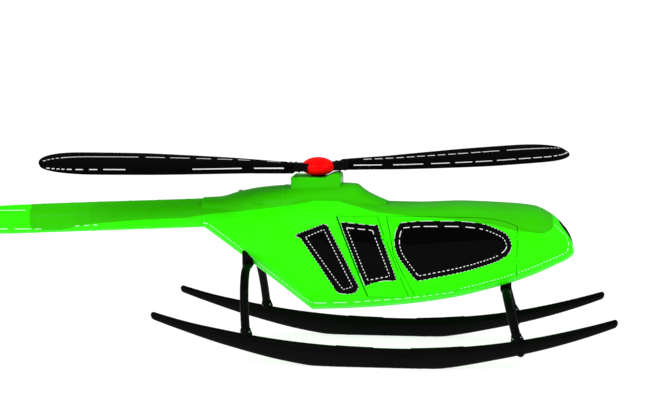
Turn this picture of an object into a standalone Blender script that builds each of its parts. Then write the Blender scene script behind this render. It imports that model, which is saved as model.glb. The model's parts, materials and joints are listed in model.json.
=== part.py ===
"""A light turbine helicopter on skids, built from separate pieces at real size.

All lengths are metres. The pieces are placed in a frame with its origin on the ground under the
rotor mast: +X to the nose, +Y to the left side, +Z up. One empty then moves that frame, so that
the middle of the whole helicopter is over the world's origin.
"""

import math

import bmesh
import bpy
import numpy as np
from mathutils import Matrix, Vector

# Whole aircraft
SKID_FRONT = 4.06
TAIL_END = -6.38
MAST_X = -(SKID_FRONT + TAIL_END) / 2
HUB_Z = 2.58

# Fits between pieces
TOUCH = 0.0005
INNER_FIT = 0.0008
DOOR_GAP = 0.008
SWING_ROOM = 0.010
SIDES = {"left": 1, "right": -1}

# Hull: heights and half widths against x, and how square each section is
WALL = 0.040
AFT_WALL = 0.020
KEEL_X = -0.042
KEEL_Z = 0.609
HULL_AFT = -1.62
HULL_NOSE = 3.53
WAIST = 0.48
BOOM_RADIUS = 0.193
BOOM_FRONT_Z = 1.908
DIAGONAL_END = (-1.587, 1.705)
ROOF_LINE = [
    (HULL_AFT, BOOM_FRONT_Z + BOOM_RADIUS), (-1.1, 2.12), (-0.5, 2.16), (0.0, 2.20), (0.4, 2.19),
    (0.95, 2.092), (1.4, 2.085), (2.0, 2.108), (2.5, 2.095), (2.98, 2.065), (3.25, 1.945),
    (3.40, 1.80), (3.49, 1.66), (HULL_NOSE, 1.52),
]
BELLY_LINE = [
    (KEEL_X, KEEL_Z), (0.62, 0.650), (1.38, 0.733), (1.92, 0.827), (2.48, 0.977), (2.87, 1.105),
    (3.26, 1.274), (3.51, 1.42), (HULL_NOSE, 1.45),
]
PLAN_LINE = [
    (HULL_AFT, BOOM_RADIUS), (-1.0, 0.40), (-0.5, 0.62), (0.0, 0.725), (0.5, 0.75), (1.5, 0.755),
    (2.2, 0.74), (2.7, 0.70), (3.0, 0.645), (3.25, 0.565), (3.40, 0.48), (3.49, 0.38),
    (HULL_NOSE, 0.22),
]
TOP_POWER = [(HULL_AFT, 2.0), (-0.6, 2.6), (0.0, 3.6), (2.4, 3.8), (3.2, 3.0), (HULL_NOSE, 2.4)]
BOTTOM_POWER = [(HULL_AFT, 2.0), (-0.5, 2.4), (0.0, 3.0), (2.4, 3.0), (HULL_NOSE, 2.4)]
HULL_STATIONS = [
    HULL_AFT, DIAGONAL_END[0], -1.15, -0.8, -0.4, KEEL_X, 0.3, 0.7, 1.4, 1.9, 2.3, 2.6, 2.85,
    3.05, 3.2, 3.32, 3.41, 3.475, 3.51, HULL_NOSE,
]
RING_POINTS = 24

# Panel joints of the hull
BULKHEAD_X = -0.30
BULKHEAD_THICK = 0.040
NOSE_JOINT_X = 2.748
ROOF_EDGE = [
    (BULKHEAD_X, 1.9935), (2.2, 1.9935), (2.45, 1.970), (2.60, 1.932), (2.75, 1.872),
    (2.98, 1.80), (3.16, 1.80), (3.24, 1.88), (3.265, 2.02),
]

# Doors and windows, as side outlines (x, z)
FRONT_DOOR = [
    (1.00, 1.985), (1.06, 1.74), (1.10, 1.50), (1.215, 1.25), (1.36, 0.98), (1.385, 0.905),
    (1.90, 0.985), (2.45, 1.13), (2.74, 1.21), (2.74, 1.88), (2.60, 1.93), (2.45, 1.965),
    (2.20, 1.985),
]
HINGE_SLOPE = 0.392
REAR_HINGE_POINT = (0.915, 1.871)
KNUCKLE_RADIUS = 0.009
KNUCKLE_LENGTH = 0.03
LEAF_START = 0.005
LEAF_LENGTH = 0.045
LEAF_DEPTH = 0.035
LEAF_PROUD = 0.003
LEAF_SHORT = 0.002
FRONT_HINGE = (2.744, 0.708, 1.5)
FRONT_HINGE_SPOTS = (1.42, 1.74)
REAR_HINGE = (0.9193, 0.7685, 1.871)
REAR_HINGE_SPOTS = (1.22, 1.70)
REAR_DOOR_TOP = 1.985
REAR_DOOR_BOTTOM = 0.885
FRONT_WINDOW = [
    (1.238, 1.930), (1.611, 1.952), (2.089, 1.942), (2.406, 1.893), (2.566, 1.815),
    (2.653, 1.720), (2.661, 1.602), (2.571, 1.466), (2.255, 1.339), (1.937, 1.259),
    (1.418, 1.127), (1.255, 1.308), (1.147, 1.537), (1.132, 1.739),
]
REAR_WINDOW = [(0.379, 1.931), (0.863, 1.871), (1.149, 1.142), (0.732, 1.039)]
AFT_WINDOW = [(-0.20, 1.725), (0.19, 1.901), (0.651, 0.996), (0.394, 0.909)]
WINDSCREEN = [(0.035, 1.58), (0.23, 1.58), (0.29, 1.65), (0.28, 1.81), (0.23, 1.87), (0.035, 1.885)]
WINDOW_CORNER = 0.035
GLASS_DEPTHS = (0.006, 0.014)

# Cowls on the roof: top height and half width against x
COWL_TOP = [
    (HULL_AFT, 2.137), (-1.39, 2.150), (-1.10, 2.23), (-0.79, 2.29), (-0.365, 2.325), (0.0, 2.335),
    (0.35, 2.362), (0.545, 2.352), (0.615, 2.30), (0.715, 2.232), (0.97, 2.118),
]
COWL_WIDTH = [
    (HULL_AFT, 0.17), (-1.3, 0.24), (-0.9, 0.37), (-0.4, 0.45), (0.3, 0.44), (0.7, 0.37), (0.97, 0.28),
]
COWL_STATIONS = [HULL_AFT, -1.39, -1.2, -0.95, -0.65, -0.35, 0.0, 0.3, 0.5, 0.65, 0.8, 0.97]
COWL_BASE = 2.0
COWL_WALL = 0.025
COWL_JOINT_X = -0.45
MAST_BLOCK = [
    (-0.352, 2.25), (-0.352, 2.455), (-0.33, 2.470), (0.12, 2.455), (0.19, 2.495), (0.265, 2.512),
    (0.320, 2.495), (0.335, 2.45), (0.335, 2.25),
]
MAST_BLOCK_HALF = 0.25

# Tail
BOOM_SLOPE = 0.0489
BOOM_TAPER_X = -4.45
BOOM_END_X = -5.95
BOOM_END_RADIUS = 0.125
BOOM_WALL = 0.012
FIN = [
    (-5.45, 1.87), (-5.97, 2.63), (-6.02, 2.65), (-6.33, 2.65), (TAIL_END, 2.55), (-6.16, 1.78),
    (-6.32, 1.12), (-6.26, 1.05), (-5.96, 1.05), (-5.62, 1.50),
]
FIN_HALF = 0.022
STABILIZER_X = (-5.05, -4.72)
STABILIZER_Z = 1.742
STABILIZER_HALF_SPAN = 0.95
STABILIZER_THICK = 0.05

# Rotors
ROTOR_RADIUS = 3.845
ROTOR_AZIMUTH = math.radians(25.7)
CONING = math.radians(2.2)
CYCLIC = math.radians(10.5)
COLLECTIVE = math.radians(-1.2)
BLADE_ROOT = 0.42
BLADE_CHORD = [
    (BLADE_ROOT, 0.44), (1.0, 0.63), (1.8, 0.85), (2.5, 0.97), (3.1, 0.98), (ROTOR_RADIUS, 0.94),
]
BLADE_AHEAD = [(BLADE_ROOT, 0.5), (1.2, 0.38), (ROTOR_RADIUS, 0.36)]
BLADE_THICK = [(BLADE_ROOT, 0.11), (1.5, 0.10), (3.0, 0.095), (ROTOR_RADIUS, 0.06)]
BLADE_TIP_START = 3.2
TIP_POWER = 2.4
MAST_RADIUS = 0.065
BORE_PLAY = 0.0012
HUB_RADIUS = 0.215
HUB_LOW = 2.475
HUB_TOP = 2.722
YOKE_HALF_WIDTH = 0.15
YOKE_HALF_THICK = 0.055
YOKE_BOSS_HALF = 0.058
TAIL_ROTOR = Vector((-5.85, 0.36, 1.70))
TAIL_ROTOR_RADIUS = 0.72
TAIL_HUB_RADIUS = 0.085
TAIL_SHAFT_RADIUS = 0.03

# Landing gear
SKID_Y = 1.0
SKID_AFT = -2.17
SKID_LOW_X = 1.1
SKID_LOW_Z = 0.13
SKID_RISE_AFT = (0.0401, 2.16)
SKID_RISE_FRONT = (0.065, 1.953)
SKID_THICK = [
    (SKID_AFT, 0.10), (-1.75, 0.13), (-1.1, 0.20), (0.3, 0.255), (0.9, 0.26), (1.6, 0.25),
    (2.6, 0.20), (3.5, 0.150), (SKID_FRONT, 0.105),
]
SKID_WIDTH = 0.13
SKID_SOLE = [
    (SKID_AFT, 0.0), (-1.2, 0.006), (-0.4, 0.040), (0.1, 0.054), (0.9, 0.045), (1.7, 0.036),
    (2.5, 0.010), (SKID_FRONT, 0.0),
]
TUBE_RADIUS = 0.06
FRONT_TUBE = [(SKID_Y, 0.30), (0.975, 0.45), (0.85, 0.74), (0.55, 0.94), (0.25, 0.965), (0.0, 0.965)]
FRONT_TUBE_X = (2.785, 2.61)
REAR_TUBE = [(SKID_Y, 0.34), (0.98, 0.50), (0.85, 0.89), (0.52, 1.20), (0.25, 1.24), (0.0, 1.24)]
REAR_TUBE_X = (-0.865, -0.945)

# Cabin
FLOOR_AFT = BULKHEAD_X + BULKHEAD_THICK / 2 + TOUCH
FLOOR_LINE = [(FLOOR_AFT, 0.86), (1.45, 0.86), (1.92, 0.94), (2.30, 1.05), (2.70, 1.17)]
FLOOR_THICK = 0.03
SEAT_Y = 0.34
SEAT_HALF = 0.21

BRIGHT_GREEN = (0.033, 1.0, 0.0)
DARK_GREEN = (0.033, 0.604, 0.0)
BLACK = (0.004, 0.004, 0.004)
RED = (1.0, 0.0, 0.0)
GREY = (0.10, 0.105, 0.11)
STEEL = (0.42, 0.43, 0.44)


def clear_scene():
    for thing in list(bpy.data.objects):
        bpy.data.objects.remove(thing)


def new_collection(name):
    made = bpy.data.collections.new(name)
    bpy.context.scene.collection.children.link(made)
    return made


def new_material(name, colour, roughness=0.4, metallic=0.0):
    made = bpy.data.materials.new(name)
    made.use_nodes = True
    made.diffuse_color = (*colour, 1.0)
    shader = made.node_tree.nodes["Principled BSDF"]
    shader.inputs["Base Color"].default_value = (*colour, 1.0)
    shader.inputs["Roughness"].default_value = roughness
    shader.inputs["Metallic"].default_value = metallic
    return made


def new_empty(name, place, parent=None):
    made = bpy.data.objects.new(name, None)
    bpy.context.scene.collection.objects.link(made)
    made.location = place
    made.parent = parent
    return made


clear_scene()
helicopter = new_collection("helicopter")
cutters = new_collection("cutters")
airframe = new_empty("airframe", (MAST_X, 0, 0))
bright_paint = new_material("bright green paint", BRIGHT_GREEN, 0.25)
dark_paint = new_material("dark green paint", DARK_GREEN, 0.25)
black_paint = new_material("black paint", BLACK, 0.35)
red_paint = new_material("red paint", RED, 0.3)
steel = new_material("steel", STEEL, 0.35, 1.0)
grey_metal = new_material("grey metal", GREY, 0.5, 0.3)
tinted_glass = new_material("tinted glass", BLACK, 0.06)
seat_cloth = new_material("seat cloth", (0.03, 0.03, 0.032), 0.9)
lamp_glass = new_material("lamp glass", (0.9, 0.9, 0.85), 0.1)
red_lens = new_material("red lens", (0.8, 0.02, 0.02), 0.15)
green_lens = new_material("green lens", (0.02, 0.6, 0.1), 0.15)


def smooth_line(points):
    """A monotone cubic curve through (x, value) points, as a function that takes numbers or arrays."""
    xs, values = np.array(points, float).T
    steps = np.diff(xs)
    slopes = np.diff(values) / steps
    tangents = np.zeros(len(xs))
    tangents[0], tangents[-1] = slopes[0], slopes[-1]
    for i in range(1, len(xs) - 1):
        before, after = slopes[i - 1], slopes[i]
        if before * after > 0:
            first = 2 * steps[i] + steps[i - 1]
            second = steps[i] + 2 * steps[i - 1]
            tangents[i] = (first + second) / (first / before + second / after)

    def value(x):
        i = np.clip(np.searchsorted(xs, x) - 1, 0, len(xs) - 2)
        t = np.clip((x - xs[i]) / steps[i], 0, 1)
        rise = (values[i + 1] - values[i]) * t * t * (3 - 2 * t)
        lean = steps[i] * t * (1 - t) * (tangents[i] * (1 - t) - tangents[i + 1] * t)
        return values[i] + rise + lean

    return value


def superellipse(angle, power):
    """The unit superellipse's point at an angle, with separate powers above and below."""
    across, up = math.cos(angle), math.sin(angle)
    return (
        math.copysign(abs(across) ** (2 / power), across),
        math.copysign(abs(up) ** (2 / power), up),
    )


def add_piece(name, mesh, paint=None, parent=airframe):
    """Links a mesh as a piece of the helicopter or, without paint, as a hidden cutter."""
    piece = bpy.data.objects.new(name, mesh)
    piece.parent = parent
    if paint is None:
        cutters.objects.link(piece)
        piece.hide_render = True
        piece.display_type = "WIRE"
    else:
        helicopter.objects.link(piece)
        mesh.materials.append(paint)
    return piece


def add_bmesh(name, bm, paint=None, parent=airframe, smooth=True):
    mesh = bpy.data.meshes.new(name)
    bmesh.ops.recalc_face_normals(bm, faces=bm.faces)
    bm.to_mesh(mesh)
    bm.free()
    if smooth:
        mesh.shade_smooth()
        mesh.set_sharp_from_angle(angle=math.radians(35))
    return add_piece(name, mesh, paint, parent)


def boolean(piece, other, operation):
    step = piece.modifiers.new(other.name, "BOOLEAN")
    step.operation = operation
    step.solver = "EXACT"
    step.object = other


def cut(piece, *others):
    for other in others:
        boolean(piece, other, "DIFFERENCE")
    return piece


def keep(piece, *others):
    for other in others:
        boolean(piece, other, "INTERSECT")
    return piece


def join(piece, *others):
    for other in others:
        boolean(piece, other, "UNION")
    return piece


def box(name, low, high, paint=None, parent=airframe, bevel=0.0):
    bm = bmesh.new()
    bmesh.ops.create_cube(bm, size=1.0)
    low, high = Vector(low), Vector(high)
    size = high - low
    bmesh.ops.scale(bm, vec=size, verts=bm.verts)
    bmesh.ops.translate(bm, vec=(low + high) / 2, verts=bm.verts)
    piece = add_bmesh(name, bm, paint, parent, smooth=False)
    if bevel:
        step = piece.modifiers.new("round", "BEVEL")
        step.width = bevel
        step.segments = 2
    return piece


def curve_to_mesh(guide, paint, parent):
    """Turns a curve into a welded mesh piece and removes the curve."""
    name = guide.name
    mesh = bpy.data.meshes.new_from_object(guide.evaluated_get(bpy.context.evaluated_depsgraph_get()))
    place = guide.matrix_basis.copy()
    bm = bmesh.new()
    bm.from_mesh(mesh)
    bmesh.ops.remove_doubles(bm, verts=bm.verts, dist=1e-5)
    bmesh.ops.recalc_face_normals(bm, faces=bm.faces)
    bm.to_mesh(mesh)
    bm.free()
    mesh.materials.clear()
    bpy.data.objects.remove(guide)
    piece = add_piece(name, mesh, paint, parent)
    piece.matrix_basis = place
    return piece


TURNS = {
    "x": Matrix.Rotation(math.pi / 2, 4, "Z") @ Matrix.Rotation(math.pi / 2, 4, "X"),
    "y": Matrix.Rotation(math.pi / 2, 4, "X"),
    "z": Matrix.Identity(4),
}


def prism(name, outline, low, high, along="y", paint=None, parent=airframe):
    """A flat outline given thickness along x (outline y, z), y (outline x, z) or z (outline x, y)."""
    curve = bpy.data.curves.new(name, "CURVE")
    curve.dimensions = "2D"
    curve.fill_mode = "BOTH"
    curve.extrude = abs(high - low) / 2
    line = curve.splines.new("POLY")
    line.points.add(len(outline) - 1)
    for point, (across, up) in zip(line.points, outline):
        point.co = (across, up, 0, 1)
    line.use_cyclic_u = True
    guide = bpy.data.objects.new(name, curve)
    bpy.context.scene.collection.objects.link(guide)
    middle = (low + high) / 2
    shift = {"x": (middle, 0, 0), "y": (0, middle, 0), "z": (0, 0, middle)}[along]
    guide.matrix_basis = Matrix.Translation(shift) @ TURNS[along]
    return curve_to_mesh(guide, paint, parent)


def tube(name, points, radius, paint=None, resolution=2):
    curve = bpy.data.curves.new(name, "CURVE")
    curve.dimensions = "3D"
    curve.bevel_depth = radius
    curve.bevel_resolution = resolution
    curve.use_fill_caps = True
    line = curve.splines.new("POLY")
    line.points.add(len(points) - 1)
    for point, place in zip(line.points, points):
        point.co = (*place, 1)
    guide = bpy.data.objects.new(name, curve)
    bpy.context.scene.collection.objects.link(guide)
    return curve_to_mesh(guide, paint, airframe)


def turned(name, profile, place, axis=(0, 0, 1), paint=None, parent=airframe, steps=24):
    """A body of revolution from (radius, height) points that run down its outer side."""
    bm = bmesh.new()
    verts = [bm.verts.new((radius, 0, height)) for radius, height in profile]
    for first, second in zip(verts, verts[1:]):
        bm.edges.new((first, second))
    mesh = bpy.data.meshes.new(name)
    bm.to_mesh(mesh)
    bm.free()
    piece = add_piece(name, mesh, paint, parent)
    screw = piece.modifiers.new("turn", "SCREW")
    screw.steps = screw.render_steps = steps
    screw.use_merge_vertices = True
    screw.merge_threshold = 1e-5
    piece.location = place
    piece.rotation_euler = Vector((0, 0, 1)).rotation_difference(Vector(axis)).to_euler()
    return piece


def loft(name, rings, paint=None, parent=airframe, inset=0.0):
    """A closed body through rings of equal length with flat ends, moved inwards by inset."""
    bm = bmesh.new()
    rows = [[bm.verts.new(point) for point in ring] for ring in rings]
    for row, following in zip(rows, rows[1:]):
        for i in range(len(row)):
            j = (i + 1) % len(row)
            bm.faces.new((row[i], row[j], following[j], following[i]))
    bm.faces.new(rows[0])
    bm.faces.new(rows[-1])
    bmesh.ops.recalc_face_normals(bm, faces=bm.faces)
    bmesh.ops.triangulate(bm, faces=bm.faces, quad_method="FIXED")
    bm.normal_update()
    moves = [(v, v.normal * inset * min(v.calc_shell_factor(), 1.5)) for v in bm.verts]
    for v, move in moves:
        v.co -= move
    return add_bmesh(name, bm, paint, parent)


def rounded(outline, radius, steps=4):
    """The outline with each corner replaced by an arc."""
    count = len(outline)
    points = []
    for i in range(count):
        before, corner, after = (Vector(outline[(i + k) % count]) for k in (-1, 0, 1))
        first = (before - corner).normalized()
        second = (after - corner).normalized()
        angle = first.angle(second)
        reach = min(radius / math.tan(angle / 2), 0.45 * (before - corner).length)
        reach = min(reach, 0.45 * (after - corner).length)
        start, end = corner + first * reach, corner + second * reach
        for k in range(steps + 1):
            t = k / steps
            points.append(tuple(start * (1 - t) ** 2 + corner * 2 * t * (1 - t) + end * t * t))
    return points


def offset_outline(outline, distance):
    """The outline moved outwards by a distance, or inwards where it is negative."""
    count = len(outline)
    points = [Vector(p) for p in outline]
    area = sum(points[i].x * points[(i + 1) % count].y - points[(i + 1) % count].x * points[i].y
               for i in range(count))
    turn = -1 if area > 0 else 1
    moved = []
    for i in range(count):
        before = (points[i] - points[i - 1]).normalized()
        after = (points[(i + 1) % count] - points[i]).normalized()
        first = Vector((-before.y, before.x)) * turn
        second = Vector((-after.y, after.x)) * turn
        mitre = (first + second).normalized()
        moved.append(tuple(points[i] + mitre * distance / max(mitre.dot(first), 0.5)))
    return moved


roof = smooth_line(ROOF_LINE)
belly_forward = smooth_line(BELLY_LINE)
plan = smooth_line(PLAN_LINE)
top_power = smooth_line(TOP_POWER)
bottom_power = smooth_line(BOTTOM_POWER)
DIAGONAL_SLOPE = (DIAGONAL_END[1] - KEEL_Z) / (DIAGONAL_END[0] - KEEL_X)


def belly(x):
    """The hull's lowest line: a curve under the cabin, and a straight rise behind the keel corner."""
    if x >= KEEL_X:
        return float(belly_forward(x))
    return min(KEEL_Z + DIAGONAL_SLOPE * (x - KEEL_X), BOOM_FRONT_Z - BOOM_RADIUS)


def hull_ring(x):
    top, bottom, half = float(roof(x)), belly(x), float(plan(x))
    waist = WAIST if x > KEEL_X else WAIST + (0.5 - WAIST) * (KEEL_X - x) / (KEEL_X - HULL_AFT)
    middle = bottom + waist * (top - bottom)
    ring = []
    for k in range(RING_POINTS):
        angle = 2 * math.pi * k / RING_POINTS
        upper = math.sin(angle) >= 0
        power = float(top_power(x) if upper else bottom_power(x))
        across, up = superellipse(angle, power)
        height = (top - middle) if upper else (middle - bottom)
        ring.append((x, half * across, middle + height * up))
    return ring


def hull(name, inset=0.0, paint=None):
    return loft(name, [hull_ring(x) for x in HULL_STATIONS], paint, inset=inset)


def hull_panel(name, paint, region, inside, *openings):
    """A piece of the hull's wall: what lies in the region, less the inside and the openings."""
    return cut(keep(hull(name, 0.0, paint), region), inside, *openings)


def side_prism(name, outline, side, near=0.28, far=1.1):
    """A cutter through one side of the cabin."""
    return prism(name, outline, side * near, side * far)


def rear_door_outline(swing_room=0.0):
    """The rear door: its front edge lies along the sloping hinge line.

    Swing room moves its rear edge forward, for the inner corner moves back as the door opens.
    """
    hinge_x, hinge_z = REAR_HINGE_POINT

    def front(z):
        return hinge_x + HINGE_SLOPE * (hinge_z - z)

    return [
        (0.325 + swing_room, REAR_DOOR_TOP), (0.69 + swing_room, 1.04), (0.745 + swing_room, 0.90),
        (0.77 + swing_room, REAR_DOOR_BOTTOM),
        (front(REAR_DOOR_BOTTOM), REAR_DOOR_BOTTOM), (front(REAR_DOOR_TOP), REAR_DOOR_TOP),
    ]


hull_inside = hull("hull inside", WALL)
hull_fit = hull("hull fit", -TOUCH)
cabin_fit = hull("cabin fit", WALL + INNER_FIT)
glass_inside = hull("glass inside", GLASS_DEPTHS[1])
FAR = 2.0


def region_above(name, low_line, lift):
    """All that lies above the roof panel's edge, as a prism across the hull."""
    edge = [(x, z + lift) for x, z in low_line]
    outline = edge + [(edge[-1][0], 2.6), (edge[0][0], 2.6)]
    return prism(name, outline, -FAR, FAR)


def make_hull():
    """The nose, cabin, roof and aft shells, with the openings of doors and windows."""
    roof_region = region_above("roof region", ROOF_EDGE, 0.0)
    grown_edge = [(x + TOUCH * (k == len(ROOF_EDGE) - 1), z) for k, (x, z) in enumerate(ROOF_EDGE)]
    grown_edge[0] = (BULKHEAD_X - 0.1, grown_edge[0][1])
    below_roof = region_above("below roof", grown_edge, -TOUCH)
    cabin_region = box("cabin region", (BULKHEAD_X, -FAR, 0), (NOSE_JOINT_X, FAR, 3))
    nose_region = box("nose region", (NOSE_JOINT_X + TOUCH, -FAR, 0), (4, FAR, 3))
    aft_region = box("aft region", (-2, -FAR, 0), (BULKHEAD_X - TOUCH, FAR, 3))
    front_holes = [side_prism(f"front doorway {s}", offset_outline(FRONT_DOOR, DOOR_GAP), k)
                   for s, k in SIDES.items()]
    rear_holes = [side_prism(f"rear doorway {s}", offset_outline(rear_door_outline(), DOOR_GAP), k)
                  for s, k in SIDES.items()]
    window_holes = [side_prism(f"aft window hole {s}", rounded(AFT_WINDOW, WINDOW_CORNER), k)
                    for s, k in SIDES.items()]
    screen_holes = [
        prism(f"windscreen hole {s}", rounded([(k * y, z) for y, z in WINDSCREEN], WINDOW_CORNER),
              3.0, 3.7, "x")
        for s, k in SIDES.items()
    ]
    cabin = hull_panel("cabin_shell", bright_paint, cabin_region, hull_inside, below_roof,
                       *front_holes, *rear_holes, *window_holes)
    nose = hull_panel("nose_shell", bright_paint, nose_region, hull_inside, below_roof,
                      *screen_holes, *front_holes)
    hull_panel("roof_panel", dark_paint, roof_region, hull_inside, *front_holes)
    hull_panel("aft_fuselage", bright_paint, aft_region, hull("aft inside", AFT_WALL))
    bulkhead = hull("rear_bulkhead", WALL + INNER_FIT, grey_metal)
    half = BULKHEAD_THICK / 2
    keep(bulkhead, box("bulkhead slab", (BULKHEAD_X - half, -FAR, 0), (BULKHEAD_X + half, FAR, 3)))
    return cabin, nose


def make_pane(name, hole):
    """Window glass: a thin layer of the hull's own curve, a little smaller than its hole."""
    pane = hull(name, GLASS_DEPTHS[0], tinted_glass)
    return cut(keep(pane, hole), glass_inside)


def make_fixed_glass():
    for side_name, side in SIDES.items():
        outline = offset_outline(rounded(AFT_WINDOW, WINDOW_CORNER), -TOUCH)
        make_pane(f"aft_window_{side_name}", side_prism(f"aft pane {side_name}", outline, side))
        outline = rounded([(side * y, z) for y, z in WINDSCREEN], WINDOW_CORNER)
        hole = prism(f"screen pane {side_name}", offset_outline(outline, -TOUCH), 3.0, 3.7, "x")
        make_pane(f"windscreen_{side_name}", hole)


def hinge_half(name, pivot, side, slope, spots, on_door):
    """The knuckles and leaves of one door's hinges: the door's pair, or the frame's single ones."""
    lean = Matrix.Translation(pivot) @ Matrix.Rotation(-math.atan(slope), 4, "Y")
    reach, levels = (-1, (-1, 1)) if on_door else (1, (0,))
    parts = []
    for spot in spots:
        for level in levels:
            middle = (spot - pivot[2]) * math.hypot(1, slope) + level * (KNUCKLE_LENGTH + TOUCH)
            low, high = middle - KNUCKLE_LENGTH / 2, middle + KNUCKLE_LENGTH / 2
            knuckle = turned(f"{name} knuckle {len(parts)}", [
                (0, high), (KNUCKLE_RADIUS, high), (KNUCKLE_RADIUS, low), (0, low)], (0, 0, 0), steps=12)
            near, far = sorted((reach * LEAF_START, reach * LEAF_LENGTH))
            inner, outer = sorted((-side * LEAF_DEPTH, side * LEAF_PROUD))
            leaf = box(f"{name} leaf {len(parts)}", (near, inner, low + LEAF_SHORT),
                       (far, outer, high - LEAF_SHORT))
            knuckle.matrix_basis = leaf.matrix_basis = lean
            parts.append(join(knuckle, leaf))
    return parts


def make_doors(cabin, nose):
    """Two doors on each side, each as thick as the wall, with its window cut, glass and hinges."""
    doors = [
        ("front", FRONT_DOOR, FRONT_WINDOW, 0.02, FRONT_HINGE, 0.0, FRONT_HINGE_SPOTS, nose),
        ("rear", rear_door_outline(SWING_ROOM), REAR_WINDOW, WINDOW_CORNER, REAR_HINGE, HINGE_SLOPE,
         REAR_HINGE_SPOTS, cabin),
    ]
    for place, outline, window, corner, (x, y, z), slope, spots, frame in doors:
        for side_name, side in SIDES.items():
            pivot = (x, side * y, z)
            hinge = new_empty(f"{place} door hinge {side_name}", pivot, airframe)
            region = side_prism(f"{place} door region {side_name}", outline, side)
            opening = rounded(window, corner, 2 if place == "front" else 4)
            hole = side_prism(f"{place} window hole {side_name}", opening, side)
            door = hull_panel(f"door_{place}_{side_name}", bright_paint, region, hull_inside, hole)
            if place == "rear":
                cut(door, sill_chamfer(side_name, side))
            name = f"{place} {side_name}"
            join(door, *hinge_half(f"{name} door", pivot, side, slope, spots, True))
            join(frame, *hinge_half(f"{name} frame", pivot, side, slope, spots, False))
            pane_region = side_prism(f"{place} pane {side_name}", offset_outline(opening, -TOUCH), side)
            glass = make_pane(f"glass_{place}_{side_name}", pane_region)
            for piece in (door, glass):
                piece.parent = hinge
                piece.matrix_parent_inverse = Matrix.Translation(-hinge.location)


def sill_chamfer(side_name, side):
    """A slanting cutter that takes the inner lower corner off the rear door, to clear the sill."""
    outline = [(0.638, 0.885), (0.638, 0.70), (0.30, 0.70), (0.30, 1.116)]
    flipped = [(side * y, z) for y, z in outline]
    return prism(f"sill chamfer {side_name}", flipped, 0.6, 1.5, "x")


def cowl_ring(x, top_line, width_line):
    top, half = float(top_line(x)), float(width_line(x))
    ring = []
    for k in range(24):
        across, up = superellipse(2 * math.pi * k / 24, 2.6)
        ring.append((x, half * across, COWL_BASE + (top - COWL_BASE) * up))
    return ring


def cowl(name, inset=0.0, paint=None):
    top_line, width_line = smooth_line(COWL_TOP), smooth_line(COWL_WIDTH)
    rings = [cowl_ring(x, top_line, width_line) for x in COWL_STATIONS]
    return loft(name, rings, paint, inset=inset)


def make_cowls():
    """The transmission and engine cowls, the block under the rotor hub, the engine and exhaust."""
    inside = cowl("cowl inside", COWL_WALL)
    cowl_fit = cowl("cowl fit", -TOUCH)
    front = cowl("transmission_cowl", 0.0, dark_paint)
    keep(front, box("front cowl region", (COWL_JOINT_X + TOUCH, -1, 1.9), (1.5, 1, 3)))
    cut(front, inside, hull_fit)
    rear = cowl("engine_cowl", 0.0, dark_paint)
    keep(rear, box("rear cowl region", (-2, -1, 1.9), (COWL_JOINT_X, 1, 3)))
    cut(rear, inside, hull_fit)
    block = prism("mast_fairing", rounded(MAST_BLOCK, 0.02, 2), -MAST_BLOCK_HALF, MAST_BLOCK_HALF,
                  paint=dark_paint)
    bore = turned("mast bore", [(0, 2.60), (MAST_RADIUS + BORE_PLAY, 2.60),
                                (MAST_RADIUS + BORE_PLAY, 2.36), (0, 2.36)], (0, 0, 0))
    cut(block, cowl_fit, bore)
    engine_front = BULKHEAD_X - BULKHEAD_THICK / 2 - TOUCH
    box("engine_block", (engine_front - 0.66, -0.21, 1.55), (engine_front, 0.21, 1.98),
        grey_metal, bevel=0.03)
    pipe = tube("exhaust", [(-0.98, 0.30, 2.04), (-1.0, 0.36, 2.11), (-1.06, 0.42, 2.145),
                            (-1.18, 0.46, 2.15)], 0.045, steel)
    cut(pipe, cowl_fit, hull_fit)


def boom_z(x):
    return BOOM_FRONT_Z + BOOM_SLOPE * (x - HULL_AFT)


def boom_body(name, grow=0.0, paint=None, hollow=False):
    """The tail boom as a turned body along its slanting axis."""
    start_x = HULL_AFT + 0.04
    start = Vector((start_x, 0, boom_z(start_x)))
    direction = Vector((1, 0, BOOM_SLOPE)).normalized()
    lengths = [0.0, 1.0, BOOM_TAPER_X - start_x, BOOM_END_X + 0.05 - start_x, BOOM_END_X - start_x]
    lengths[1] = lengths[2] / 2
    radii = [BOOM_RADIUS, BOOM_RADIUS, BOOM_RADIUS, BOOM_END_RADIUS, BOOM_END_RADIUS - 0.03]
    outer = [(radius + grow, length) for radius, length in zip(radii, lengths)]
    outer[-1] = (outer[-1][0], outer[-1][1] - grow)
    profile = outer + [(0, outer[-1][1])]
    if hollow:
        inner = [(radius - BOOM_WALL, length) for radius, length in zip(radii[:4], lengths[:4])]
        profile = [(0, inner[-1][1])] + inner[::-1] + profile
    else:
        profile = [(0, 0)] + profile
    return turned(name, profile, start, direction, paint)


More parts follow.
